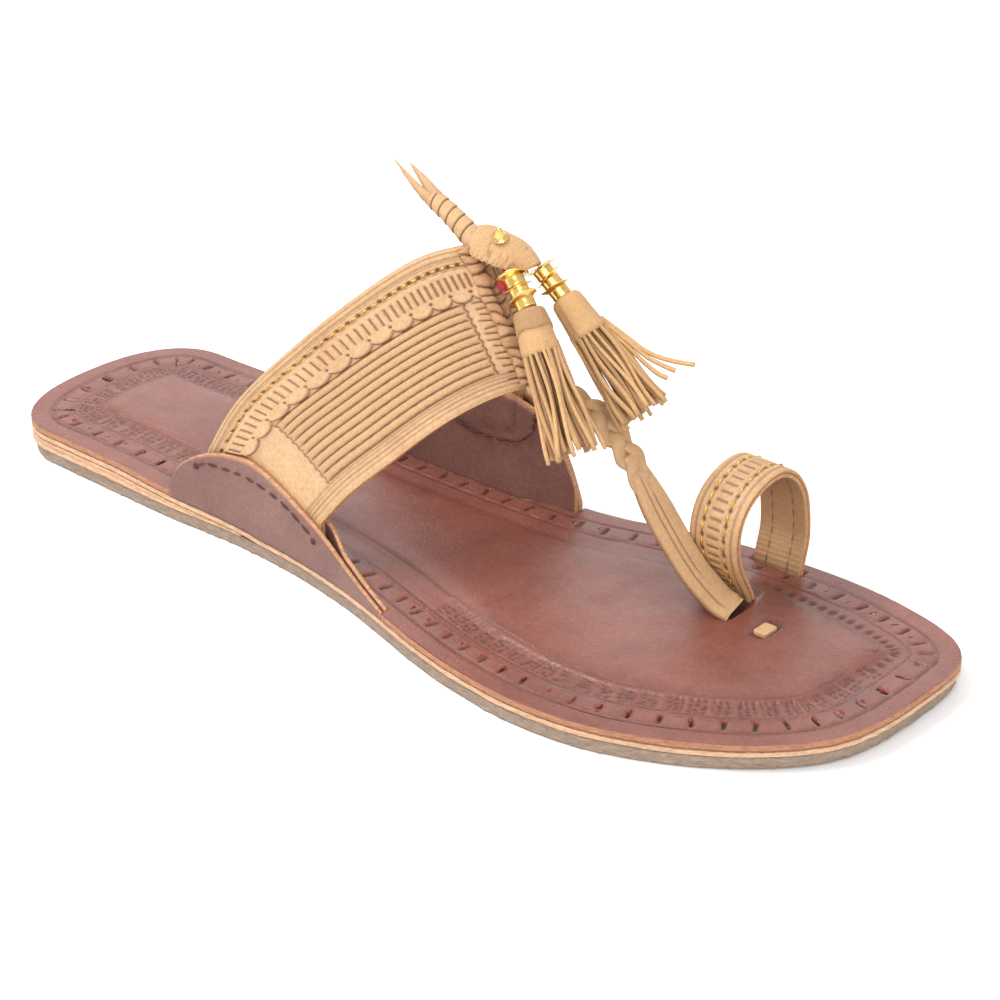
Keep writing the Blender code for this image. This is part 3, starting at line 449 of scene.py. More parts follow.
def thong_path():
    """The thong's middle line from the front of the band to its slit, and its half width and thickness."""
    start = crown(1.0)
    end = Vector((THONG_SLIT_X, THONG_SLIT_Y, insole_top(THONG_SLIT_X) + FOOTBED_RISE))
    gap = end - start
    points = [
        Vector((start.x + row.run * gap.x, start.y + row.side * gap.y, start.z + row.drop * gap.z))
        for row in THONG_ROWS
    ]
    foot = Vector((THONG_SLIT_X, THONG_SLIT_Y, midsole_top(THONG_SLIT_X) + 1.5 * CLEARANCE))
    points += [end + Vector((0.0001, 0, 0)), foot]
    return points


def tongue_point(run, side, out):
    """A point on the tongue: run along it, side across the foot, out of its face."""
    base = crown(0.0)
    drop = smooth_at(TONGUE_ROWS, "drop", run)
    fore, back = min(run + 0.05, 1.0), run - 0.05
    ahead = smooth_at(TONGUE_ROWS, "drop", fore) - smooth_at(TONGUE_ROWS, "drop", back)
    width = fore - back
    along = Vector((TONGUE_LENGTH * width, 0, -TONGUE_DROP * ahead)).normalized()
    normal = Vector((-along.z, 0, along.x))
    shift = TONGUE_SHIFT * (0.85 + 0.35 * run)
    centre = base + Vector((TONGUE_LENGTH * run, shift, -TONGUE_DROP * drop))
    return centre + Vector((0, side, 0)) + normal * out


def tassel_line(row):
    """Bead top, cap end and fringe end in the sandal's frame."""
    base = crown(0.0)
    return [base + Vector(offset) * TASSEL_REACH for offset in row[1:]]


# Making pieces


def noise_at(point, scale):
    """Smooth noise from about -1 to 1 at a point given in metres."""
    return noise.noise(point * scale)


def chance(*keys):
    """A number from 0 to 1 that is always the same for the same keys."""
    value = 0.0
    for weight, key in zip((12.9898, 78.233, 37.719, 91.17), keys):
        value += weight * key
    value = math.sin(value) * 43758.5453
    return value - math.floor(value)


def groove(distance, half_width):
    """1 in the middle of a line, falling to 0 at its sides."""
    share = abs(distance) / half_width
    return 0.0 if share >= 1 else (1 - share * share) ** 2


def squarer(value, power):
    """A cosine or sine, changed so that its circle turns squarer."""
    return math.copysign(abs(value) ** power, value)


def circle(count, shift=0.0):
    """Angles round a circle, each with its cosine and sine."""
    for k in range(count):
        angle = 2 * math.pi * (k + shift) / count
        yield angle, math.cos(angle), math.sin(angle)


def way_at(path, i):
    """The way along a path at one of its points."""
    return (path[min(i + 1, len(path) - 1)] - path[max(i - 1, 0)]).normalized()


def run_lengths(path, unit=1):
    """Length run at each point of a path, in units of which a metre has this many."""
    runs = [0.0]
    for a, b in zip(path, path[1:]):
        runs.append(runs[-1] + (b - a).length * unit)
    return runs


def nearest(runs, run):
    return min(range(len(runs)), key=lambda i: abs(runs[i] - run))


class Relief:
    """Height in mm over a face, and how dark it is, as tools press into it or shade is painted on it."""

    def __init__(self, height=0.0):
        self.height = height
        self.tone = 0.0

    def press(self, share, depth, dark=0.0):
        self.height -= depth * share
        self.tone += dark * share


def piece(name, points, faces, look, marks, replaces=(), weld=False):
    """A mesh from points in the sandal's own frame, with marks for its shader."""
    mesh = bpy.data.meshes.new(name)
    mesh.from_pydata([(p[0] - SOLE_LENGTH / 2, p[1], p[2]) for p in points], [], faces)
    for key, values in marks.items():
        column = mesh.attributes.new(key, "FLOAT", "POINT")
        column.data.foreach_set("value", values)
    shape = bmesh.new()
    shape.from_mesh(mesh)
    if weld:
        bmesh.ops.remove_doubles(shape, verts=shape.verts, dist=0.000002)
    bmesh.ops.recalc_face_normals(shape, faces=shape.faces)
    shape.to_mesh(mesh)
    shape.free()
    mesh.materials.append(look)
    mesh.shade_smooth()
    made = bpy.data.objects.new(name, mesh)
    bpy.context.scene.collection.objects.link(made)
    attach(made, "root")
    if replaces:
        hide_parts(*replaces)


def loft_faces(count, rows, start=0, caps=True):
    """Quads between rings of count points."""
    faces = []
    for row in range(rows - 1):
        a = start + row * count
        for i in range(count):
            j = (i + 1) % count
            faces.append((a + i, a + j, a + count + j, a + count + i))
    if caps:
        faces.append(tuple(start + i for i in reversed(range(count))))
        faces.append(tuple(start + (rows - 1) * count + i for i in range(count)))
    return faces


class Bundle:
    """Collects the points, faces and marks of one mesh."""

    def __init__(self):
        self.points = []
        self.faces = []
        self.marks = {"tone": [], "raw": [], "nap": []}

    def add(self, point, tone=0.0, raw=0.0, nap=0.0):
        self.points.append(point)
        for key, value in (("tone", tone), ("raw", raw), ("nap", nap)):
            self.marks[key].append(value)

    def loft(self, count):
        """Joins all its points, as rings of this count, to one closed form."""
        self.faces = loft_faces(count, len(self.points) // count)

    def loops(self, loops, tone=0.0, raw=0.0, nap=0.0):
        """Adds a closed form of rings. A mark is one value, or a list with one for each ring."""
        start = len(self.points)
        for row, loop in enumerate(loops):
            values = [mark[row] if isinstance(mark, list) else mark for mark in (tone, raw, nap)]
            for point in loop:
                self.add(point, *values)
        self.faces += loft_faces(len(loops[0]), len(loops), start)

    def finish(self, name, look, replaces=(), weld=False):
        piece(name, self.points, self.faces, look, self.marks, replaces, weld)


def frames_along(path):
    """Two directions across a path at each of its points, carried along without twist."""
    found = []
    side = None
    for i in range(len(path)):
        along = way_at(path, i)
        if side is None:
            side = along.cross(Vector((0, 0, 1)))
            if side.length < 0.1:
                side = along.cross(Vector((0, 1, 0)))
        side = (side - along * side.dot(along)).normalized()
        found.append((side, side.cross(along)))
    return found


def round_loops(path, radii, sides):
    """Rings round a path."""
    return [
        [point + side * (radius * c) + up * (radius * s) for _, c, s in circle(sides)]
        for point, (side, up), radius in zip(path, frames_along(path), radii)
    ]


def stitch(bundle, start, end, out, radius, tone, lift):
    """A short thread that rises out of one hole and goes down in the next."""
    path = []
    radii = []
    count = 6
    for k in range(count + 1):
        share = k / count
        arch = math.sin(math.pi * share)
        path.append(start + (end - start) * share + out * (radius * lift * (1.5 * arch - 0.9)))
        radii.append(radius * (0.55 + 0.45 * arch))
    bundle.loops(round_loops(path, radii, 6), tone)


# Materials


def new_node(tree, kind, **values):
    made = tree.nodes.new(kind)
    for key, value in values.items():
        made.inputs[key.replace("_", " ")].default_value = value
    return made


def link(tree, source, target):
    tree.links.new(source, target)


def mark(tree, name):
    made = tree.nodes.new("ShaderNodeAttribute")
    made.attribute_name = name
    return made.outputs["Fac"]


def noise_node(tree, place, scale, detail, roughness=0.55, distortion=0.0):
    made = new_node(tree, "ShaderNodeTexNoise", Scale=scale, Detail=detail, Roughness=roughness)
    made.inputs["Distortion"].default_value = distortion
    link(tree, place, made.inputs["Vector"])
    return made.outputs["Fac"]


def span(tree, source, low, high, to_low=0.0, to_high=1.0):
    made = tree.nodes.new("ShaderNodeMapRange")
    for i, value in enumerate((low, high, to_low, to_high)):
        made.inputs[i + 1].default_value = value
    link(tree, source, made.inputs[0])
    return made.outputs[0]


def colours(tree, factor, first, second, mode="MIX"):
    """Mixes two colours, each a colour or another node's output."""
    made = tree.nodes.new("ShaderNodeMix")
    made.data_type = "RGBA"
    made.blend_type = mode
    if isinstance(factor, float):
        made.inputs[0].default_value = factor
    else:
        link(tree, factor, made.inputs[0])
    for socket, value in ((made.inputs[6], first), (made.inputs[7], second)):
        if isinstance(value, tuple):
            socket.default_value = (*value, 1.0)
        else:
            link(tree, value, socket)
    return made.outputs[2]


def sums(tree, first, second, operation="MULTIPLY"):
    made = tree.nodes.new("ShaderNodeMath")
    made.operation = operation
    for socket, value in zip(made.inputs, (first, second)):
        if isinstance(value, float):
            socket.default_value = value
        else:
            link(tree, value, socket)
    return made.outputs[0]


def stretched(tree, scale):
    """Object coordinates, squeezed more in one direction than in another."""
    coordinates = tree.nodes.new("ShaderNodeTexCoord")
    mapping = new_node(tree, "ShaderNodeMapping")
    mapping.inputs["Scale"].default_value = scale
    link(tree, coordinates.outputs["Object"], mapping.inputs["Vector"])
    return mapping.outputs["Vector"]


def new_material(name):
    made = bpy.data.materials.new(name)
    made.use_nodes = True
    return made, made.node_tree, made.node_tree.nodes["Principled BSDF"]


def add_bump(tree, shader, height, strength, distance):
    bump = new_node(tree, "ShaderNodeBump", Strength=strength, Distance=distance)
    link(tree, height, bump.inputs["Height"])
    link(tree, bump.outputs["Normal"], shader.inputs["Normal"])


def scaled(colour, share):
    return tuple(share * c for c in colour)


PATCH_SCALE = 55.0  # of the leather's light and dark patches
SPECKLE = 0.36  # how much of its fine speckle shows


def leather(
    name,
    light,
    dark,
    line,
    rough,
    depth,
    raw=(0.62, 0.30, 0.13),
    nap=(0.50, 0.30, 0.15),
    grain=1300.0,
    coat=0.0,
    sheen=0.0,
):
    """Leather with patches, grain and pores, darker in its tooling and where shade is painted, with raw
    fibres where cut.
    """
    made, tree, shader = new_material(name)
    place = stretched(tree, (1.0, 1.0, 1.0))
    layers = stretched(tree, (1.0, 1.0, 7.0))
    patches = noise_node(tree, place, PATCH_SCALE, 4.0, 0.6, 0.4)
    fine = noise_node(tree, place, grain * 0.55, 3.0, 0.7)
    base = colours(tree, span(tree, patches, 0.32, 0.68), dark, light)
    speck = colours(tree, span(tree, fine, 0.40, 0.62), (0.62, 0.58, 0.55), (1.12, 1.12, 1.12))
    base = colours(tree, SPECKLE, base, speck, "MULTIPLY")
    mottle = noise_node(tree, place, 2600.0, 2.0, 0.8)
    fuzz = colours(tree, span(tree, mottle, 0.42, 0.60), scaled(nap, 0.84), scaled(nap, 1.08))
    nap_share = mark(tree, "nap")
    base = colours(tree, nap_share, base, fuzz)
    fibres = noise_node(tree, layers, 420.0, 5.0, 0.75, 0.6)
    frayed = colours(tree, span(tree, fibres, 0.36, 0.64), scaled(raw, 0.55), scaled(raw, 1.12))
    raw_share = mark(tree, "raw")
    base = colours(tree, raw_share, base, frayed)
    # The tone mark mixes in the line colour: tooling, and painted shade in slits, grooves, creases and
    # joints.
    base = colours(tree, sums(tree, mark(tree, "tone"), 0.92), base, line)
    link(tree, base, shader.inputs["Base Color"])
    gloss = span(tree, noise_node(tree, place, PATCH_SCALE * 2.3, 3.0), 0.3, 0.7, rough[0], rough[1])
    dull = sums(tree, sums(tree, raw_share, nap_share, "MAXIMUM"), 0.9)
    mix = tree.nodes.new("ShaderNodeMix")
    link(tree, dull, mix.inputs[0])
    link(tree, gloss, mix.inputs[2])
    mix.inputs[3].default_value = 0.92
    link(tree, mix.outputs[0], shader.inputs["Roughness"])
    cells = tree.nodes.new("ShaderNodeTexVoronoi")
    cells.inputs["Scale"].default_value = grain
    link(tree, place, cells.inputs["Vector"])
    height = sums(tree, cells.outputs["Distance"], fine, "ADD")
    height = sums(tree, height, sums(tree, sums(tree, mottle, nap_share), 1.2), "ADD")
    height = sums(tree, height, sums(tree, sums(tree, fibres, raw_share), 2.5), "ADD")
    add_bump(tree, shader, height, depth, 0.0002)
    shader.inputs["Coat Weight"].default_value = coat
    shader.inputs["Coat Roughness"].default_value = 0.35
    shader.inputs["Sheen Weight"].default_value = sheen
    shader.inputs["Sheen Roughness"].default_value = 0.5
    return made


def metal(name, colour):
    """Polished gold plate with faint scratches and tarnish."""
    made, tree, shader = new_material(name)
    place = stretched(tree, (1.0, 1.0, 1.0))
    cloud = noise_node(tree, place, 500.0, 3.0)
    tarnish = colours(tree, span(tree, cloud, 0.35, 0.65), scaled(colour, 0.72), colour)
    link(tree, tarnish, shader.inputs["Base Color"])
    scratches = noise_node(tree, place, 1500.0, 4.0, 0.7)
    link(tree, span(tree, scratches, 0.3, 0.7, 0.10, 0.30), shader.inputs["Roughness"])
    shader.inputs["Metallic"].default_value = 1.0
    add_bump(tree, shader, cloud, 0.12, 0.0001)
    return made


def thread(name, light, dark, rough=0.6, metallic=0.0):
    """Twisted thread: light and dark bands across a fine ply."""
    made, tree, shader = new_material(name)
    wave = new_node(tree, "ShaderNodeTexWave", Scale=900.0, Distortion=2.5, Detail=2.0)
    link(tree, stretched(tree, (1.0, 0.8, 1.3)), wave.inputs["Vector"])
    bands = wave.outputs["Fac"]
    base = colours(tree, bands, dark, light)
    # The tone mark darkens the thread: painted shade where it lies in a slot, and some threads darker than
    # others.
    base = colours(tree, sums(tree, mark(tree, "tone"), 0.9), base, scaled(dark, 0.25))
    link(tree, base, shader.inputs["Base Color"])
    link(tree, span(tree, bands, 0.0, 1.0, rough + 0.1, rough - 0.1), shader.inputs["Roughness"])
    shader.inputs["Metallic"].default_value = metallic
    add_bump(tree, shader, bands, 0.5, 0.0001)
    return made


# The sole's outline


def sole_point(place, inset, side):
    """Where a line at this inset from the sole's edge passes, for a place along the sole."""
    share = place / SOLE_LENGTH
    from_heel = max(1 - place / HEEL_INSET_RUN, 0.0)
    from_toe = max((place - SOLE_LENGTH + TOE_ROUND) / TOE_ROUND, 0.0)
    centre = smooth_at(SOLE_ROWS, "centre", share) * BALL_WIDTH / 2
    half = smooth_at(SOLE_ROWS, "half", share) * BALL_WIDTH / 2
    reach = side * (half - inset) * end_factor(place)
    return Vector((place + inset * (from_heel - from_toe), centre + reach, 0.0))


def fine_places():
    """Places along the sole about half a millimetre apart, closer at its ends."""
    heel_steps, middle_steps, toe_steps = 64, 400, 190
    start = SOLE_LENGTH - TOE_ROUND

    def quarter(k, steps):
        return math.radians(90 * k / steps)

    found = []
    for k in range(heel_steps):
        found.append(HEEL_ROUND * (1 - math.cos(quarter(k, heel_steps)) ** (2 / HEEL_POWER)))
    for k in range(middle_steps):
        found.append(HEEL_ROUND + (start - HEEL_ROUND) * k / middle_steps)
    for k in range(toe_steps + 1):
        found.append(start + TOE_ROUND * math.sin(quarter(k, toe_steps)) ** (2 / TOE_POWER))
    return found


PLACES = fine_places()
COLUMNS = [(-1, x) for x in PLACES] + [(1, x) for x in PLACES[-2:0:-1]]


def outline(inset):
    """The sole's outline, inset: from the heel along the lateral side and back."""
    return [sole_point(place, inset, side) for side, place in COLUMNS]


def across_faces(start, count):
    """Closes a ring of the outline with strips from its lateral to its medial side."""
    half = count // 2
    faces = [(start, start + 1, start + count - 1)]
    for i in range(1, half - 1):
        faces.append((start + i, start + i + 1, start + count - i - 1, start + count - i))
    faces.append((start + half - 1, start + half, start + half + 1))
    return faces


def layer(name, rings, look, marks, replaces):
    """A layer of the sole from its underside's ring to its top's ring, both closed across."""
    count = len(rings[0])
    points = [point for ring in rings for point in ring]
    faces = loft_faces(count, len(rings), 0, False)
    faces += across_faces(0, count)
    faces += across_faces((len(rings) - 1) * count, count)
    flat = {key: [value for row in values for value in row] for key, values in marks.items()}
    piece(name, points, faces, look, flat, replaces)


def side_layer(name, bottom, top, look, uneven, groove_at=None, undercut=None, flecks=0.0):
    """A layer whose cut side shows: rows up its side, with fibres, knife marks and a groove, and painted
    shade along its foot, in the groove and in the dents.
    """
    rings = []
    tones = []
    for share in (0.0, 0.03, 0.14, 0.27, 0.40, 0.50, 0.60, 0.73, 0.86, 0.97, 1.0):
        ring = outline(OUTSOLE_INSET if undercut else 0.0)
        tone = []
        for i, point in enumerate(ring):
            low, high = bottom(point.x), top(point.x)
            edge = 0.00012 if share in (0.0, 1.0) else 0.0
            cut = 0.0 if groove_at is None else groove(share - groove_at, 0.09)
            z = low + (high - low) * share
            wobble = uneven * noise_at(Vector((point.x, point.y, z * 3)), 260.0)
            wobble += 0.6 * uneven * noise_at(Vector((point.x, point.y, z * 2)), 900.0)
            pull = edge + 0.00025 * cut + max(wobble, -0.00005)
            if undercut:
                pull += undercut(point.x) * (1 - share)
            if flecks and share < 0.2 and chance(i // 3, 5) > 0.86:
                pull -= flecks * chance(i, 3)
            side, place = COLUMNS[i]
            inner = sole_point(place, 0.004, side)
            way = Vector((inner.x - point.x, inner.y - point.y, 0))
            if way.length > 0:
                point += way.normalized() * pull
            point.z = z
            # Painted shade along the layer's foot, in the groove and in the dents of the knife marks.
            dark = 0.22 if share <= 0.03 else 0.0
            tone.append(min(0.4 * cut + dark + 0.20 * max(wobble / uneven, 0), 1.0))
        rings.append(ring)
        tones.append(tone)
    raws = [[1.0] * len(ring) for ring in rings]
    layer(name + "_skin", rings, look, {"tone": tones, "raw": raws}, (name,))


def outsole_skin(look):
    def undercut(x):
        from_end = min(x, SOLE_LENGTH - x)
        return OUTSOLE_UNDERCUT * (1 - ease(from_end / UNDERCUT_LENGTH))

    side_layer(
        "outsole", spring, lambda x: OUTSOLE_WALL + spring(x), look,
        0.00008, None, undercut, 0.0003,
    )


def midsole_skin(look):
    side_layer("midsole", midsole_bottom, midsole_top, look, 0.00010, 0.0)


def lift_skin(look):
    """The heel lift: two plies with a groove between, thinning to its front end."""
    shares = (0.0, 0.08, 0.25, 0.42, 0.50, 0.58, 0.75, 0.92, 1.0)
    points = []
    tone = []
    for x in PLACES:
        if not 0 < x < LIFT_LENGTH:
            continue
        low = OUTSOLE_WALL + CLEARANCE
        high = OUTSOLE_WALL + lift_rise(x)
        for side in (-1, 1):
            for share in shares if side < 0 else reversed(shares):
                cut = groove(share - 0.5, 0.14)
                z = low + (high - low) * share
                wobble = 0.0001 * noise_at(Vector((x, side, z * 3)), 300.0)
                reach = side * sole_half(x, side) - side * (0.00022 * cut + wobble + 0.0001)
                points.append(Vector((x, reach, z)))
                # Painted shade in the groove between the plies and along the top and bottom edges.
                tone.append(0.35 * cut + (0.22 if share in (0.0, 1.0) else 0.0))
    count = 2 * len(shares)
    faces = loft_faces(count, len(points) // count)
    marks = {"tone": tone, "raw": [1.0] * len(points)}
    piece("heel_lift_skin", points, faces, look, marks, ("heel_lift",))


# Insole

STITCH_PITCH = 6.7  # mm along the border
SLOT_IN, SLOT_OUT = 6.0, 9.5  # mm from the edge
SLOT_MIDDLE = 0.0077
HEEL_END, TOE_END = 0.030, 0.214  # ends of the line that the insole's columns run to
WAIST_START, WAIST_END = 78, 150  # mm from the heel: the border is plainer between them


class Edge:
    """Finds the distance from the sole's edge, and the place along it, for any point of the insole."""

    def __init__(self):
        ring = outline(0.0)
        inner = outline(SLOT_MIDDLE)
        samples = []
        run = 0.0
        count = len(ring)
        for i in range(count):
            a, b = ring[i], ring[(i + 1) % count]
            step = (inner[(i + 1) % count] - inner[i]).length
            parts = max(int((b - a).length / 0.00015), 1)
            for k in range(parts):
                samples.append((a + (b - a) * (k / parts), run + step * k / parts, COLUMNS[i][0]))
            run += step
        self.samples = samples
        self.tree = kdtree.KDTree(len(samples))
        for i, (point, _, _) in enumerate(samples):
            self.tree.insert(point, i)
        self.tree.balance()

    def find(self, x, y):
        _, index, distance = self.tree.find(Vector((x, y, 0.0)))
        _, run, side = self.samples[index]
        return distance * 1000, run * 1000, side


def line_cut(d, at, half=0.45):
    return groove(d - at, half)


# Middle and half size of each slit in the insole
SLITS = (
    (THONG_SLIT_X, THONG_SLIT_Y, THONG_WALL / 2, THONG_HALF),
    (TAB_X, TAB_Y, TAB_WIDTH / 2, TAB_LENGTH / 2),
    (LOOP_X, LOOP_Y + LOOP_ROWS[0].side * LOOP_SPREAD, LOOP_WIDTH / 2, LOOP_WALL / 2),
    (LOOP_X, LOOP_Y + LOOP_ROWS[-1].side * LOOP_SPREAD, LOOP_WIDTH / 2, LOOP_WALL / 2),
)


def insole_relief(d, run, side, x, y):
    """Height in mm over the insole's own level, and how dark the tooling and the painted shadow round the
    slits are.
    """
    relief = Relief(FOOTBED_RISE * 1000 * ease((d - 15.0) / 4.0) + 0.3 * ease((d - 18) / 4.5))
    behind = x < WAIST_START
    near = side < 0
    cell = run / STITCH_PITCH
    index = round(cell)
    offset = (cell - index) * STITCH_PITCH
    across = 2 * abs(cell - math.floor(cell) - 0.5)
    cut = line_cut(d, 4.9)
    relief.press(cut, 0.32, 0.70)
    if 5.0 < d < 11.0:
        relief.height += 0.16 * (1 - across**4) * ease((d - 5.0) / 1.2) * ease((10.9 - d) / 1.2)
        lean = (chance(index, 1) - 0.5) * 0.5
        width = 0.42 + 0.15 * chance(index, 2)
        reach = 0.25 * (chance(index, 4) - 0.5)
        if SLOT_IN + reach < d < SLOT_OUT + reach:
            ends = min(d - SLOT_IN - reach, SLOT_OUT + reach - d)
            slot = groove(offset - lean * (d - 7.7), width) * ease(ends / 0.35)
            relief.press(slot, 0.60, 1.9)
        pinch = groove(offset, 1.3)
        relief.press(pinch * ease((d - 5.2) / 1.0) * ease((10.6 - d) / 1.0), 0.10)
        bow = 1 - across**2
        strength = 1.0 if behind else (0.75 if near else 0.5)
        arc = line_cut(d, 6.1 - 0.75 * (1 - bow), 0.32) * (0.9 if behind else 0.25)
        arc += line_cut(d, 9.7 + 0.7 * (1 - bow), 0.35) * 0.8
        relief.press(arc * strength, 0.22, 0.60)
    inner = line_cut(d, 11.2, 0.4)
    relief.press(inner, 0.26, 0.62)
    under = WAIST_START < x < WAIST_END
    stamped = 0.0 if under else 1.0
    if side > 0 and WAIST_START < x < 205:
        stamped = 0.0 if x < 195 else ease((x - 195) / 8)
    if near and x >= WAIST_END:
        stamped = ease((x - 148) / 4)
    if near and under:
        line = line_cut(d, 17.3, 0.5)
        relief.press(line, 0.2, 0.75)
    if stamped and 11.7 < d < 17.4:
        gap = ease((abs((run / 5.6) % 1 - 0.5) - 0.06) / 0.10) if side < 0 else 1.0
        u, v = run / 1.65, d / 1.45
        iu, iv = math.floor(u), math.floor(v)
        cu = u - iu - 0.5 - 0.4 * (chance(iu, iv) - 0.5)
        cv = v - iv - 0.5 - 0.4 * (chance(iv, iu, 3) - 0.5)
        size = 0.34 + 0.18 * chance(iu, iv, 7)
        dot = max(1 - (cu * cu + cv * cv) / (size * size), 0.0)
        if side > 0 and x > 190:
            u = run / 3.0
            iu = math.floor(u)
            cu = (u - iu - 0.5) / 0.36
            cv = (d - 14.4) / 1.3
            dot = max(1 - cu * cu - cv * cv, 0.0) * 1.2
        share = stamped * gap * ease((d - 11.8) / 0.5) * ease((17.2 - d) / 0.6)
        relief.press(share, 0.34 * dot + 0.06, 0.62 * dot + 0.10)
    if x > WAIST_END or (not near and x > 100):
        for at, weight in ((17.9, 0.8), (18.9, 0.35)):
            cut = line_cut(d, at, 0.4) * weight
            relief.press(cut, 0.24, 0.60)
    if behind:
        cut = line_cut(d, 17.6, 0.8)
        relief.press(cut, 0.25, 0.40)
    hump = math.exp(-(((x - 197) / 9.0) ** 2) - ((y - 27.5) / 8.5) ** 2)
    relief.height += 1.3 * hump
    point = Vector((x, y, 0.0))
    relief.height += 0.14 * noise_at(point, 0.05) + 0.05 * noise_at(point, 0.17)
    relief.height += 0.025 * noise_at(point, 1.4)
    # Painted shadow round each slit, where a strap goes down into the insole.
    for at_x, at_y, half_x, half_y in SLITS:
        dx = max(abs(x - at_x * 1000) - half_x * 1000, 0.0)
        dy = max(abs(y - at_y * 1000) - half_y * 1000, 0.0)
        gap = math.hypot(dx, dy)
        relief.press(1 - ease(gap / 1.1), 0.9)
        relief.tone += 0.95 * (1 - ease(gap / 0.8))
    return relief.height, min(relief.tone, 1.0)


def insole_skin(look, edge):
    """The footbed: columns from the edge to a middle line, with the border's tooling pressed in."""
    steps = [0.00012 + 0.0005 * k for k in range(39)]
    shares = [0.11 * k for k in range(1, 10)] + [1.0]
    rows = [(step, 0.0) for step in steps] + [(steps[-1], share) for share in shares]
    rims = (
        (0.0, 0.00015), (0.0, 0.0004), (0.0, 0.0008), (0.0, 0.0012), (0.0, 0.00150),
        (0.00006, INSOLE_WALL),
    )
    columns = []
    for side, place in COLUMNS:
        start = sole_point(place, 0.0, side)
        middle_x = min(max(place, HEEL_END), TOE_END)
        middle_y = smooth_at(SOLE_ROWS, "centre", middle_x / SOLE_LENGTH) * BALL_WIDTH / 2
        way = Vector((middle_x, middle_y, 0.0)) - start
        columns.append((start, way, flap_notch(place, side) / max(abs(way.normalized().y), 0.3)))
    made = Bundle()
    for inset, rise in rims:
        for start, way, notch in columns:
            wobble = 0.0001 * noise_at(Vector((start.x, start.y, 3 * rise)), 400.0)
            wobble += 0.0001 * noise_at(Vector((start.x, start.y, 2 * rise)), 1100.0)
            reach = notch + inset + max(wobble, 0.0)
            level = Vector((0, 0, insole_bottom(start.x) + rise))
            raw = 1.0 if rise < INSOLE_WALL - 0.0001 else 0.75
            # Painted shade along the foot of the insole's edge, where it sits on the midsole.
            made.add(start + way.normalized() * reach + level, 0.30 if rise < 0.0002 else 0.0, raw)
    for step, share in rows:
        for start, way, notch in columns:
            reach = step + (way.length - step) * share if share else max(step, notch + steps[0])
            point = start + way * (reach / way.length)
            d, run, side = edge.find(point.x, point.y)
            height, dark = insole_relief(d, run, side, point.x * 1000, point.y * 1000)
            point.z = insole_top(point.x) + height / 1000
            if step == steps[0]:
                point.z -= 0.00004
            made.add(point, dark)
    made.faces = loft_faces(len(columns), len(rims) + len(rows), 0, False)
    made.faces += across_faces(0, len(columns))
    made.finish("insole_skin", look, ("insole",), weld=True)


def insole_stitches(red, tan):
    """A short thread in each slot of the border: red on the near side, tan on the far side."""
    threads = Bundle()
    pale = Bundle()
    inner = outline(SLOT_MIDDLE)
    runs = run_lengths(inner, 1000)
    out = Vector((0, 0, 1))
    proud = out * 0.00034
    for index in range(int(runs[-1] / STITCH_PITCH) + 1):
        i = nearest(runs, index * STITCH_PITCH)
        side, place = COLUMNS[i]
        ahead = min(place + 0.002, SOLE_LENGTH)
        if flap_notch(place, side) > 0 or flap_notch(ahead, side) > 0:
            continue
        deep, shallow = sole_point(place, 0.0090, side), sole_point(place, 0.0066, side)
        shift = 0.0002 * (chance(index, 9) - 0.3)
        way = (deep - shallow).normalized()
        cross = Vector((-way.y, way.x, 0))
        low = Vector((0, 0, insole_top(inner[i].x) - 0.00045))
        a = shallow + way * (0.0012 * chance(index, 5)) + cross * shift + low
        b = deep + cross * shift + low
        # The thread sunk in its slot is painted nearly black with shade.
        stitch(threads, a - way * 0.0005 + proud, b + way * 0.0003 + proud, out, 0.00031, 1.0, 0.15)
        if side < 0 and (place > 0.10 or chance(index, 6) > 0.6):
            ends = a + way * 0.0004 + proud, b - way * 0.0003 + proud
            stitch(threads, *ends, out, 0.00038, 0.2 * chance(index, 8), 1.5)
        elif chance(index, 7) > 0.35:
            low_end = a + cross * 0.00035
            stitch(pale, low_end, low_end + way * 0.0016, out, 0.00030, 0.1, 2.2)
    threads.finish("border_stitches_red", red)
    pale.finish("border_stitches_tan", tan)


# Side flaps


FLAP_COLUMNS = 220
FLAP_LEVELS = 18


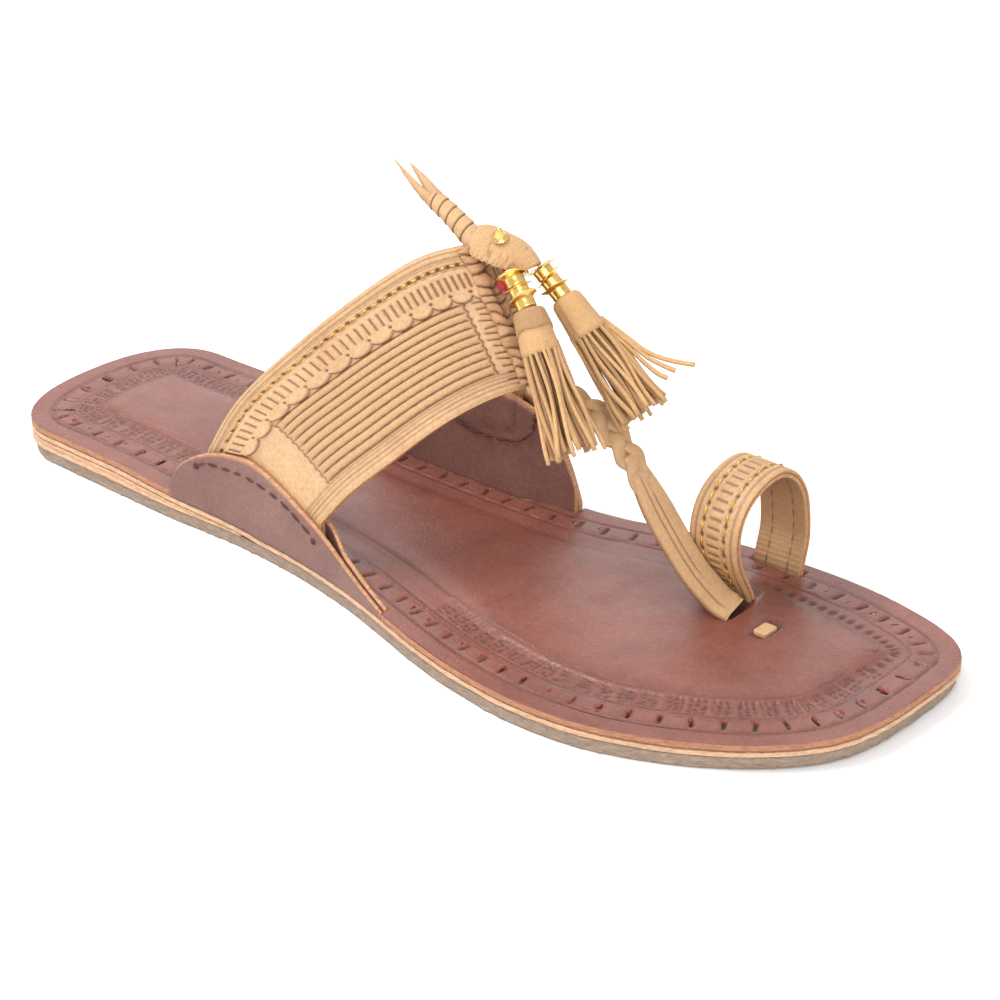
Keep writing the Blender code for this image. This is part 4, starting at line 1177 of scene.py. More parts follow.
def flap_skin(side, inner_ply, look):
    """One ply of a flap, its top and ends cut raw. The inner one bulges where it holds the band."""
    low, high = flap_span(side)
    rear, front = band_base(side)
    made = Bundle()
    for k in range(FLAP_COLUMNS + 1):
        x = low + CLEARANCE + (high - low - 2 * CLEARANCE) * k / FLAP_COLUMNS
        start = PLY_WALL + ply_room(x, side) if inner_ply else 0.0
        foot = midsole_top(x) + CLEARANCE
        top = flap_top(x - (PLY_LEAD if inner_ply else 0.0), side)
        top += 0.00008 * noise_at(Vector((x, side, 0.1 if inner_ply else 0.5)), 700.0)
        height = max(top - foot, 0.0006)
        half = sole_half(x, side)
        for inward in (False, True):
            for j in range(FLAP_LEVELS + 1):
                share = 1 - j / FLAP_LEVELS if inward else j / FLAP_LEVELS
                z = foot + height * share
                thinner = 0.00018 * ease((z - (top - 0.00035)) / 0.00035)
                reach = half - (start + (PLY_WALL - thinner if inward else thinner))
                bulge = 0.0
                # Painted shade along the ply's foot, where it meets the midsole.
                dark = 0.25 if share < 0.02 else 0.0
                if inner_ply and inward:
                    along = (x - rear) / (front - rear)
                    hold = BAND_TUCK - TUCK_ROUND * (2 * min(max(along, 0), 1) - 1) ** 2
                    lowest = flap_top(min(max(x, rear), front), side) - hold
                    inside = 1000 * min(x - rear, front - x, z - lowest) + 1.0
                    bulge = 0.00045 * ease(inside / 2.2)
                    # Painted shade in the crease round the band held under the inner ply.
                    if side > 0:
                        dark += 0.30 * groove(inside - 0.6, 1.0)
                if inward or not inner_ply:
                    bulge += 0.00012 * noise_at(Vector((x, side * 0.03, z)), 60.0)
                raw = 1.0 if share > 0.999 or k in (0, FLAP_COLUMNS) else 0.0
                made.add(Vector((x, side * (reach - bulge), z)), dark, raw)
    made.loft(2 * (FLAP_LEVELS + 1))
    name = ("lateral" if side < 0 else "medial") + ("_inner" if inner_ply else "_outer")
    made.finish(f"flap_{name}_skin", look, (f"side_flap_{name}",))


# Stitch lines of the flaps: places in mm from the heel and over the floor
FLAP_STITCH = (
    (73.9, 17.8), (76.2, 19.4), (81.4, 19.8), (85.0, 20.1), (91.1, 20.3), (98.7, 19.3),
    (103.8, 18.2), (109.0, 16.0), (113.7, 14.1), (115.1, 12.8),
)
BAND_STITCH = (
    (130.8, 34.5), (132.5, 30.8), (133.0, 26.9), (131.3, 23.6), (128.0, 21.6), (120.5, 20.4),
    (112.0, 20.6), (105.5, 24.0),
)
FLAP_STITCH_PITCH = 0.0042


def flap_stitches(red):
    """Running stitches that hold the band between the plies, with the knots at their ends."""
    threads = Bundle()
    way = Vector((0, -1, 0))
    for rows, side, inside in ((FLAP_STITCH, -1, False), (BAND_STITCH, 1, True)):
        path = []
        for x, z in rows:
            x, z = x / 1000, z / 1000
            start = 2 * PLY_WALL + ply_room(x, side) + 0.00045 if inside else 0.0
            path.append(Vector((x, side * (sole_half(x, side) - start), z)))
        lead = PLY_LEAD if inside else 0.0
        path = [at for at in curve_through(path, 8) if at.z < flap_top(at.x - lead, side) - 0.0012]
        runs = run_lengths(path)
        for k in range(int(runs[-1] / FLAP_STITCH_PITCH)):
            run = k * FLAP_STITCH_PITCH
            a = path[nearest(runs, run + 0.0001)]
            b = path[nearest(runs, run + FLAP_STITCH_PITCH * 0.93)]
            stitch(threads, a, b, way, 0.00030, 0.6 * chance(k, side + 2), 1.1)
        for at in (path[0], path[-1]):
            for turn in range(3):
                angle = 2.1 * turn + 0.4
                tip = Vector((math.cos(angle), 0, math.sin(angle))) * 0.0011
                stitch(threads, at - tip, at + tip, way, 0.00036, 0.3, 1.6)
    threads.finish("flap_stitches", red)


# Instep band


BAND_HOLES = 27  # in each half of the stitch row
STITCH_ACROSS = 0.122  # the stitch row, as a share of the band's width
BARS = 3  # stamped bars on each scallop
LINES_REAR = ((0.030, 0.26), (0.068, 0.34), (0.086, 0.20))
LINES_FRONT = ((0.884, 0.30), (0.905, 0.26), (0.930, 0.34), (0.958, 0.22))


def band_relief(turn, across, width, speed):
    """Height in mm over the band's outer face, how dark the tooling and the painted shadow along the
    overlay's edge are, and how much nap shows.
    """
    relief = Relief()
    nap = 0.0
    x = across * width
    worn = max(0.03 - across, across - 0.97, 0.0) / 0.03
    relief.press(worn**2, 0.35)
    for at, weight in LINES_REAR + LINES_FRONT:
        cut = groove(x - at * width, 0.34)
        relief.press(cut, 0.24, 1.7 * weight)
    if abs(across - STITCH_ACROSS) < 0.04:
        pitch = 90 / BAND_HOLES
        off = (turn / pitch - round(turn / pitch)) * pitch * speed
        hole = groove(math.hypot(off, x - STITCH_ACROSS * width), 0.78)
        relief.press(hole, 0.5, 1.5)
        relief.press(groove(x - STITCH_ACROSS * width, 0.8), 0.12)
    if 0 < turn < 180:
        scallop = turn * SCALLOPS / 90
        share = scallop - math.floor(scallop)
        lobe = math.sqrt(max(1 - (2 * share - 1) ** 2, 0.0))
        end = OVERLAY_END - 0.012 + 1.35 * SCALLOP_DEPTH * lobe
        inside = min(across - OVERLAY_START, end - across) * width
        top = ease(inside / 0.30)
        relief.height += OVERLAY_RISE * 1000 * top
        # The overlay's dark cut edge, with painted shadow beside it, heavier along its lower edge.
        relief.tone += groove(inside + 0.10, 0.36) * (1.0 if across > 0.25 else 0.4)
        mm = (share - round(share)) * 90 / SCALLOPS * speed
        pin = groove(math.hypot(mm, (across - OVERLAY_END + 0.028) * width), 0.62)
        relief.press(pin, 0.4, 1.5)
        bar = share * BARS
        mm = (bar - math.floor(bar) - 0.5) * 90 / SCALLOPS / BARS * speed
        ends = min(across - 0.183, 0.296 - across) * width
        cut = groove(mm, 0.46) * ease(ends / 0.35)
        relief.press(cut, 0.38, 0.98)
        near_bar = ease(ends / 0.5) * top
        relief.height += 0.07 * near_bar * (1 - cut)
    pitch = (RIBS_END - RIBS_START) / RIBS
    ribs = rib_share(turn)
    if ribs > 0 and RIBS_START - 0.01 < across < RIBS_END + 0.01:
        place = (across - RIBS_START) / pitch
        share = place - math.floor(place)
        off = (place - round(place)) * pitch * width
        wobble = 0.06 * math.sin(turn * 1.9 + 3 * round(place))
        cut = groove(off + 0.4 * wobble, 0.30)
        if 0 < place < RIBS:
            relief.height += ribs * RIB_RISE * 850 * math.sin(math.pi * share) ** 0.4
        uneven = 0.85 + 0.15 * math.sin(turn * 1.1 + 2 * round(place))
        relief.press(cut * ribs, 0.40, 1.35 * uneven)
        nap = ribs * 0.85
        from_base = turn if turn < 90 else 180 - turn
        skew = 0.8 * abs(2 * share - 1)
        for at in (RIBS_FROM_TURN + 1.2, RIBS_TO_TURN - 1.2):
            way = 1 if at < 45 else -1
            edge = groove((from_base - at - way * (0.5 - skew)) * speed, 0.42)
            relief.press(edge, 0.2, 1.0)
    from_centre = abs(turn - 90) * speed
    if 2.4 < from_centre < 6.6 and 0.36 < across < 0.97:
        row = x / 1.55
        index = round(row)
        mm = (row - index) * 1.55 + 0.35 * (chance(index, 2) - 0.5) * (from_centre - 3)
        reach = 4.2 + 2.2 * chance(index, 11)
        cut = groove(mm, 0.30) * ease((reach - from_centre) / 0.5)
        relief.press(cut, 0.45, 0.85)
        relief.height += 0.25 * math.exp(-((from_centre - 3.2) ** 2)) * (1 - cut)
        nap = max(nap, 0.55 * ease((5.6 - from_centre) / 1.5))
    return relief.height, min(relief.tone, 1.0), nap


BAND_STEPS = 480  # round the foot
BAND_LANES = 142  # across the band
TUCK_STEPS = 6


def band_skin(look):
    """The instep band with its tooling, ribs and layered edges, tucked in between the plies."""
    turns = [-TUCK_TURN + TUCK_TURN * k / TUCK_STEPS for k in range(TUCK_STEPS)]
    turns += [180 * k / BAND_STEPS for k in range(BAND_STEPS + 1)]
    turns += [180 + TUCK_TURN * (k + 1) / TUCK_STEPS for k in range(TUCK_STEPS)]
    rows = BAND_LANES
    shares = [k / rows for k in range(rows + 1)]
    middle = [[band_middle(turn, share) for share in shares] for turn in turns]
    last = len(turns) - 1
    made = Bundle()
    under = [1 - k / 16 for k in range(17)]
    edge = (0.72, 0.36, 0.0, -0.36, -0.72)
    for i, turn in enumerate(turns):
        here = middle[i]
        behind, ahead = max(i - 1, 0), min(i + 1, last)
        low, high = middle[behind], middle[ahead]
        if turn == 0:
            high = here
        if turn == 180:
            low = here
        width = (here[rows] - here[0]).length * 1000
        step = abs(turns[ahead] - turns[behind])
        half = rows // 2
        speed = (middle[ahead][half] - middle[behind][half]).length * 1000 / step
        normals = []
        for j in range(rows + 1):
            forward = here[min(j + 1, rows)] - here[max(j - 1, 0)]
            normals.append(forward.cross(high[j] - low[j]).normalized())

        def cut_edge(j, neighbour, levels):
            way = (here[j] - here[neighbour]).normalized()
            for level in levels:
                cut = 0.00022 * (1 - abs(level)) - 0.00030 * groove(level, 0.3)
                point = here[j] + normals[j] * (level * BAND_WALL / 2) + way * cut
                # Painted shade in the groove between the band's layers.
                made.add(point, 0.65 * groove(level - 0.05, 0.3), 1.0)

        worn = ease(min(turn + 2.5, 182.5 - turn) / 2.0)
        for j, share in enumerate(shares):
            height, tone, nap = band_relief(turn, share, width, speed)
            height *= worn
            point = here[j] + normals[j] * (BAND_WALL / 2 + height / 1000)
            grain = 0.00003 * noise_at(point, 900.0) + 0.00006 * noise_at(point, 130.0)
            made.add(point + normals[j] * grain, tone, 0.0, nap)
        cut_edge(rows, rows - 1, edge)
        for share in under:
            j = round(share * rows)
            made.add(here[j] - normals[j] * (BAND_WALL / 2), 0.0, 0.0, 0.75)
        cut_edge(0, 1, edge[::-1])
    made.loft(rows + 1 + 2 * len(edge) + len(under))
    made.finish("instep_band", look, ("upper",))


def band_stitches(gold):
    """Gold running stitch between the holes of the band."""
    threads = Bundle()
    turns = [90 * k / BAND_HOLES for k in range(1, 2 * BAND_HOLES)]
    for k, (a, b) in enumerate(zip(turns, turns[1:])):
        middle = (a + b) / 2
        if abs(middle - 90) < 3:
            continue
        start, end = [
            band_middle(turn, STITCH_ACROSS) + band_normal(turn, STITCH_ACROSS) * (BAND_WALL / 2)
            for turn in (a, b)
        ]
        way = end - start
        out = band_normal(middle, STITCH_ACROSS)
        lean = band_normal(90, 0.1).cross(way).normalized() * (0.00012 if k % 2 else -0.00012)
        near, far = start + way * 0.13 + lean, end - way * 0.13 - lean
        stitch(threads, near, far, out, 0.00031, 0.1 * chance(k), 1.0)
    threads.finish("band_stitches", gold)


def seam_skin(look):
    """The gathered strip over the middle of the band: folds whose creases meet in it, with painted shade in
    the creases and on its underside.
    """
    count = 150
    sides = 30
    wide = Vector((0, 1, 0))
    made = Bundle()
    for i in range(count + 1):
        share = i / count
        across = 0.02 + 0.95 * share
        centre = crown(across, BAND_WALL / 2)
        ahead = crown(min(across + 0.01, 1.0), BAND_WALL / 2)
        up = wide.cross((ahead - crown(across - 0.01, BAND_WALL / 2)).normalized())
        if up.z < 0:
            up = -up
        swell = 0.90 + 0.18 * math.sin(2 * math.pi * share * 3.3) * 0.5 + 0.08 * noise_at(centre, 220.0)
        for _, c, s in circle(sides):
            place = centre + wide * (c * 0.004)
            fold = share * 13 + 0.7 * abs(c) + 0.9 * noise_at(place, 170.0)
            crease = groove((fold - round(fold)), 0.20)
            second = groove(c - 0.16 * math.sin(11 * share), 0.14) if s > 0 else 0.0
            swing = 0.00050 * noise_at(place + up * s * 0.002, 330.0)
            half = SEAM_HALF * swell * (1 - 0.10 * crease) + swing
            thick = SEAM_THICK * (1.05 - 0.42 * crease * (s > -0.2) - 0.30 * second) + swing
            point = centre + wide * (half * squarer(c, 0.8)) + up * (thick * s)
            # Painted shade in the creases and over the underside; a faint even tone besides.
            tone = min(0.85 * crease + 0.7 * second + 0.1, 1.0) if s > -0.2 else 0.3
            made.add(point, tone, 0.0, 0.75)
    made.loft(sides)
    made.finish("gathered_seam", look)


def thong_run(steps):
    """The thong's path with its half width and thickness at each point, and the share of the rows passed."""
    points = thong_path()
    run = curve_through(points, steps)
    found = []
    for i, point in enumerate(run):
        share = min(i / steps, len(THONG_ROWS) - 1)
        low = int(share)
        high = min(low + 1, len(THONG_ROWS) - 1)
        mix = share - low
        half = THONG_ROWS[low].half * (1 - mix) + THONG_ROWS[high].half * mix
        thick = THONG_ROWS[low].thick * (1 - mix) + THONG_ROWS[high].thick * mix
        found.append((point, PLAIT_HALF * half, PLAIT_THICK * thick, i / steps))
    return found


PLAIT_ROWS = 4.9  # rows of the thong's table that the plait covers
PLAIT_PITCH = 0.0190  # length of one strand's whole way from side to side


def across_frame(run, i):
    """The thong's own directions: wide across the foot, and out of its face."""
    along = way_at([item[0] for item in run], i)
    wide = (Vector((0, 1, 0)) - along * along.y).normalized()
    out = wide.cross(along).normalized()
    if out.z < 0 and out.x < 0:
        out = -out
    return wide, out


def plait(look):
    """Three flat strands that pass over and under each other."""
    run = thong_run(16)
    strands = Bundle()
    lengths = run_lengths([item[0] for item in run])
    last = max(i for i, item in enumerate(run) if item[3] <= PLAIT_ROWS)
    for strand in range(3):
        loops = []
        for i in range(last + 1):
            point, half, thick, row = run[i]
            wide, out = across_frame(run, i)
            phase = 2 * math.pi * (lengths[i] / PLAIT_PITCH + strand / 3)
            fade = ease((PLAIT_ROWS - row) / 0.9)
            shift = 0.52 * half * math.sin(phase) * fade + (strand - 1) * 0.45 * half * (1 - fade)
            centre = point + wide * shift + out * (0.45 * thick * math.sin(2 * phase) * fade)
            tilt = -0.45 * math.cos(phase) * fade
            loop = []
            for _, c, s in circle(12):
                w = squarer(c, 0.6) * half * 0.47
                t = squarer(s, 0.8) * thick * 0.52
                rough = 0.00006 * noise_at(centre + wide * w + out * t, 500.0)
                loop.append(centre + wide * (w + rough) + out * (t + w * tilt * 0.3 + rough))
            loops.append(loop)
        strands.loops(loops, 0.10, 0.0, 0.65)
    strands.finish("thong_plait", look)


def strap(look):
    """The flat lower thong with two long grooves, down to its slit."""
    run = thong_run(16)
    first = min(i for i, item in enumerate(run) if item[3] >= PLAIT_ROWS - 1.1)
    used = [item for item in run[first:] if item[3] <= len(THONG_ROWS) - 0.35]
    lanes, under_lanes = 34, 8
    made = Bundle()
    for i, (point, half, thick, row) in enumerate(used):
        wide, out = across_frame(used, i)
        start = ease((row - PLAIT_ROWS + 1.1) / 1.2)
        grow = 0.55 + 0.45 * start
        sink = 0.0007 * (1 - start)
        upper = ease((row - 4.2) / 0.5) * ease((6.6 - row) / 0.6)
        lower = ease((row - 4.0) / 0.5) * ease((len(THONG_ROWS) - 1.15 - row) / 0.8)
        for k in range(lanes + 1):
            u = 2 * k / lanes - 1
            cut = groove(u - 0.12 * (1 - 0.2 * start), 0.10) * upper + groove(u + 0.34, 0.10) * lower
            rise = thick * (1 - 0.12 * u**6) - 0.00042 * cut - sink
            rise += 0.00006 * noise_at(point + wide * (u * half), 420.0)
            made.add(point + wide * (u * half * grow) + out * rise, 0.75 * cut, 0.0, 0.45)
        for k in range(under_lanes + 1):
            u = 1 - 2 * k / under_lanes
            low = out * (thick * 0.9 - sink)
            made.add(point + wide * (u * half * grow * 0.985) - low, 0.15, 0.6, 0.9)
    made.loft(lanes + under_lanes + 2)
    made.finish("thong_strap", look)


def tongue_skin(look):
    """The folded suede tongue, with a crimped edge."""
    count = 96
    sides = 44
    made = Bundle()
    first, last = TONGUE_ROWS[0].run, TONGUE_ROWS[-1].run
    for i in range(count + 1):
        share = i / count
        run = first + (last - first) * share
        half = TONGUE_HALF * smooth_at(TONGUE_ROWS, "half", run)
        crimps = 2 * math.pi * share * 12
        for _, c, s in circle(sides):
            near = c < 0
            across = squarer(c, 0.9) * (1.30 if near else 1.0)
            rim = ease((abs(c) - 0.72) / 0.28)
            crimp = 0.00020 * rim * math.sin(crimps + 0.9 * math.sin(9 * share))
            face = 0.5 * s * (1 - 0.3 * rim)
            droop = abs(across) ** 1.6 * TONGUE_DROOP * half / TONGUE_HALF * (1.1 if near else 1.0)
            point = tongue_point(run, across * half, face * TONGUE_WALL - droop + crimp)
            bend = 0.00022 * noise_at(point, 260.0) + 0.00012 * noise_at(point, 700.0)
            pore = groove(noise_at(point, 520.0) - 0.45, 0.14) if s > 0 else 0.0
            # Pores, and painted shade in the hollows of the crimped edge.
            tone = min(0.45 * pore + 0.35 * rim * max(-math.sin(crimps), 0.0), 1.0)
            made.add(point + Vector((0, 0, bend - 0.00015 * pore)), tone, 0.0, 1.0)
    made.loft(sides)
    made.finish("tongue_skin", look)


# How each of the horn's points lies off its straight line, and how far it bows
POINT_SHIFTS = {"near": (-0.0016, 0.0, 0.0019), "far": (-0.0030, 0.0, 0.0006)}
POINT_BOWS = {"near": -0.0011, "far": 0.0005}


def horn_skin(look):
    """The stalk wound with a strip, and its two pointed ends."""
    start = crown(0.06, BAND_WALL) + Vector((0, 0.9 * TONGUE_SHIFT, 0))
    count = 150
    sides = 28
    path = []
    for k in range(count + 1):
        share = k / count
        lift = HORN_RISE * math.sin(math.radians(60) * share) / math.sin(math.radians(60))
        path.append(start + Vector((-HORN_LENGTH * share, 0.001 * share, lift)))
    wound = Bundle()
    for i, (point, (side, up)) in enumerate(zip(path, frames_along(path))):
        share = i / count
        for angle, c, s in circle(sides):
            turn = HORN_WRAPS * share + angle / (2 * math.pi) * 0.9
            part = turn - math.floor(turn)
            step = 0.10 * (1 - part) + 0.02 * math.sin(math.pi * part)
            cut = groove(min(part, 1 - part), 0.09)
            radius = HORN_RADIUS * (1 - 0.22 * share) * (0.97 + step - 0.12 * cut)
            radius += 0.00010 * noise_at(point + side * c * 0.002, 500.0)
            # Painted shade in the gaps between the strip's wraps.
            wound.add(point + side * (radius * c) + up * (radius * s), 0.85 * cut, 0.0, 0.7)
    wound.loft(sides)
    steps = 26
    for row in POINT_ROWS:
        end = Vector(row.end) * HORN_LENGTH + Vector(POINT_SHIFTS[row.name])
        root = row.root * HORN_RADIUS
        side = Vector((0, 0.35 * root * (1 if row.end[1] > 0 else -1), 0))
        bow = Vector((0.0, 0.0, POINT_BOWS[row.name]))
        tip_path = []
        for k in range(steps + 1):
            share = k / steps
            sag = bow * math.sin(math.pi * share)
            tip_path.append(path[-1] - end * 0.28 + side + (end * 1.28 - side) * share + sag)
        loops = []
        tones = []
        for k, (point, (wide, up)) in enumerate(zip(tip_path, frames_along(tip_path))):
            share = k / steps
            radius = root * (1.25 - 1.15 * share**1.15)
            loop = []
            for _, c, s in circle(12):
                rough = 0.00010 * noise_at(point + wide * c * 0.001, 700.0)
                height = (radius * 1.15 + rough) * s + 0.25 * radius * c**2
                loop.append(point + wide * ((radius * 0.75 + rough) * c) + up * height)
            loops.append(loop)
            # Painted shade at each point's root, where it leaves the stalk; darker also at the tip.
            tones.append(0.35 * (1 - share) ** 3 + 0.25 * share**6)
        wound.loops(loops, tones, 0.0, 0.75)
    wound.finish("wrapped_horn", look)


# Toe loop


def loop_path(steps):
    base = midsole_top(LOOP_X) + CLEARANCE
    middle = [
        Vector((LOOP_X, LOOP_Y + row.side * LOOP_SPREAD, base + row.height * LOOP_HEIGHT))
        for row in LOOP_ROWS
    ]
    return curve_through(middle, steps)


LOOP_STITCH = 0.235  # the stitch rows, as shares of the strap's width from its middle
LOOP_PITCH = 3.5  # mm between holes
BAR_PITCH = 2.1  # mm between the stamped bars


def loop_outs(path):
    """The direction out of the toe ring at each point of its path."""
    middle = sum(path, Vector()) / len(path)
    outs = []
    for i, point in enumerate(path):
        out = Vector((1, 0, 0)).cross(way_at(path, i)).normalized()
        outs.append(-out if out.dot(point - middle) < 0 else out)
    return outs


def off_pitch(run, pitch):
    """Distance to the nearest of the marks that follow each other at this pitch."""
    return (run / pitch - round(run / pitch)) * pitch


def loop_skin(look):
    """The toe loop's doubled strap: tooled outside, suede inside, a groove between its layers."""
    path = loop_path(16)
    runs = run_lengths(path, 1000)
    width = LOOP_WIDTH * 1000
    lanes, under_lanes = 72, 30
    edge = (0.7, 0.35, 0.12, 0.0, -0.12, -0.35, -0.7)
    made = Bundle()
    for point, run, out in zip(path, runs, loop_outs(path)):

        def cut_edge(side, levels):
            for level in levels:
                cut = groove(level, 0.25)
                reach = Vector((side * (LOOP_WIDTH / 2 + 0.0001 - 0.00035 * cut), 0, 0))
                # Painted shade in the groove between the strap's layers.
                made.add(point + reach + out * (level * LOOP_WALL / 2), 0.8 * cut, 1.0 - 0.4 * cut)

        # Darker towards the bottom of the loop, next to the footbed.
        low_darkening = 0.22 * ease((0.0105 - point.z) / 0.004)
        for k in range(lanes + 1):
            u = k / lanes - 0.5
            mm = abs(u * width)
            off_row = mm - LOOP_STITCH * width
            height = -0.30 * ease((abs(u) - 0.465) / 0.035)
            tone = low_darkening
            for at, weight in ((0.375, 0.34), (0.405, 0.20)):
                cut = groove(mm - at * width, 0.30)
                height -= 0.24 * cut
                tone += 1.7 * weight * cut
            hole = groove(math.hypot(off_pitch(run, LOOP_PITCH), off_row), 0.78)
            height -= 0.45 * hole + 0.10 * groove(off_row, 0.7)
            bar = groove(off_pitch(run, BAR_PITCH), 0.46) * ease((1.85 - mm) / 0.35)
            height += 0.07 * ease((1.9 - mm) / 0.4) * (1 - bar) - 0.34 * bar
            tone += 1.6 * hole + 0.90 * bar
            face = out * (LOOP_WALL / 2 + height / 1000)
            made.add(point + Vector((u * LOOP_WIDTH, 0, 0)) + face, min(tone, 1.0))
        cut_edge(1, edge)
        for k in range(under_lanes + 1):
            u = 0.5 - k / under_lanes
            row = groove(abs(u) * 13 - LOOP_STITCH * 13, 0.45)
            fibre = 0.05 * math.sin(run * 5 + 3 * u)
            face = out * (LOOP_WALL / 2 + (fibre - 0.15 * row) / 1000)
            tone = min(0.12 + 0.75 * row * (0.6 + 0.4 * math.sin(run * 1.8)) + low_darkening, 1.0)
            made.add(point + Vector((u * LOOP_WIDTH * 0.99, 0, 0)) - face, tone, 0.15, 0.85)
        cut_edge(-1, edge[::-1])
    made.loft(lanes + under_lanes + 2 + 2 * len(edge))
    made.finish("toe_loop_skin", look, ("toe_loop",))


def loop_stitches(gold):
    threads = Bundle()
    path = loop_path(16)
    all_outs = loop_outs(path)
    runs = run_lengths(path, 1000)
    for side in (-1, 1):
        row = Vector((side * LOOP_STITCH * LOOP_WIDTH, 0, 0))
        for k in range(2, int(runs[-1] / LOOP_PITCH) - 1):
            places = [nearest(runs, (k + share) * LOOP_PITCH) for share in (0.17, 0.83)]
            outs = [all_outs[i] for i in places]
            ends = [path[i] + row + all_outs[i] * (LOOP_WALL / 2) for i in places]
            if min(end.z for end in ends) < 0.0085:
                continue
            out = (outs[0] + outs[1]).normalized()
            stitch(threads, *ends, out, 0.00033, 0.1 * chance(k, side), 0.9)
    threads.finish("loop_stitches", gold)


# Tab, stud and knot


def tab_skin(look):
    """The thong's end, cut square with soft corners, standing a little over the footbed."""
    low = midsole_top(TAB_X) + CLEARANCE
    high = insole_top(TAB_X) + FOOTBED_RISE + BORDER_DIP + TAB_PROUD
    made = Bundle()
    rings = ((0.0, 0.0), (0.90, 0.0), (0.97, 0.00012), (1.0, 0.0004), (1.0, 0.0009), (1.0, 0.0014))
    for level, inset in rings:
        for _, c, s in circle(40, 0.5):
            x = squarer(c, 0.30) * (TAB_WIDTH / 2 - inset)
            y = squarer(s, 0.30) * (TAB_LENGTH / 2 - inset)
            rough = 0.00010 * noise_at(Vector((x, y, level * 0.01)), 900.0)
            point = Vector((TAB_X + x, TAB_Y + y, low + (high - low) * level + rough))
            made.add(point, 0.0, 1.0 if level < 0.95 else 0.3, 0.9)
    made.loft(40)
    made.finish("tab_skin", look, ("thong_tab",))


def turned_loops(profile, seat, axis, sides, wave=None):
    """Rings of a turned form, from (radius, height) rows, stood at seat along axis."""
    side = axis.cross(Vector((0, 1, 0))).normalized()
    up = axis.cross(side)
    loops = []
    for radius, z in profile:
        loop = []
        for angle, c, s in circle(sides):
            r, lift = wave(radius, z, angle) if wave else (radius, z)
            loop.append(seat + side * (r * c) + up * (r * s) + axis * lift)
        loops.append(loop)
    return loops


def stud_skin(gold):
    fall = 0.5 * TONGUE_DROOP / (0.75 * TONGUE_HALF)
    ridge = tongue_point(STUD_RUN, 0.0, 0.5 * TONGUE_WALL)
    up = (tongue_point(STUD_RUN, 0.0, TONGUE_WALL) - ridge).normalized()
    lean = (up + Vector((0.0, -fall, 0.0))).normalized()
    seat = ridge + Vector((0.0, STUD_SIDE, 0.0)) + up * (STUD_SIDE * fall) + lean * CLEARANCE
    shape = (
        (0.02, 1.0), (0.16, 0.99), (0.28, 0.94), (0.37, 0.84), (0.44, 0.70), (0.53, 0.52),
        (0.62, 0.34), (0.74, 0.20), (0.90, 0.14), (0.97, 0.11), (1.0, 0.07), (1.0, 0.02),
        (0.9, -0.12), (0.2, -0.16),
    )
    profile = [(r * STUD_RADIUS, h * STUD_HEIGHT) for r, h in shape]
    made = Bundle()
    made.loops(turned_loops(profile, seat, lean, 40))
    made.finish("stud_skin", gold, ("cone_stud",))


def knot_skin(red):
    """A small ball wound with red thread, on a twisted stem."""
    under = -0.5 * TONGUE_WALL - 0.35 * TONGUE_DROOP
    top = tongue_point(KNOT_RUN, KNOT_SIDE, under) - Vector((0, 0, 2 * CLEARANCE))
    middle = -KNOT_STEM - 0.85 * KNOT_RADIUS
    ball = Bundle()
    profile = []
    for k in range(33):
        angle = math.pi * (0.02 + 0.96 * k / 32)
        profile.append((KNOT_RADIUS * math.sin(angle), middle + KNOT_RADIUS * math.cos(angle)))

    def wound(r, z, angle):
        height = (z - middle) / KNOT_RADIUS
        ridge = 0.00009 * math.sin(14 * height + 2 * angle) + 0.00006 * math.sin(9 * angle + 4 * height)
        return max(r + ridge, 0.00005), z

    ball.loops(turned_loops(profile, top, Vector((0, 0, 1)), 40, wound))
    for strand in range(2):
        path = []
        for k in range(40):
            share = k / 39
            angle = 14 * share + math.pi * strand
            height = 0.0002 + (middle - 0.0002) * share
            around = 0.00026 * math.cos(angle), 0.00026 * math.sin(angle)
            path.append(top + Vector((*around, height)))
        ball.loops(round_loops(path, [0.00027] * 40, 8))
    ball.finish("knot_skin", red, ("red_knot",))


# Beads and tassels


# Radius and height of a bead, and of its flared ring, as shares of bead radius and pitch
BEAD_BODY = (
    (0.30, 0.02), (0.80, 0.01), (0.94, -0.03), (1.0, -0.10), (0.985, -0.30), (0.97, -0.50),
    (0.98, -0.72), (1.0, -0.86), (0.97, -0.95), (0.86, -0.985), (0.30, -0.99),
)
BEAD_RING = (
    (0.92, -0.06), (1.10, -0.03), (1.40, 0.03), (1.62, 0.08), (1.69, 0.06), (1.65, 0.01),
    (1.40, -0.05), (1.12, -0.13), (0.94, -0.19),
)


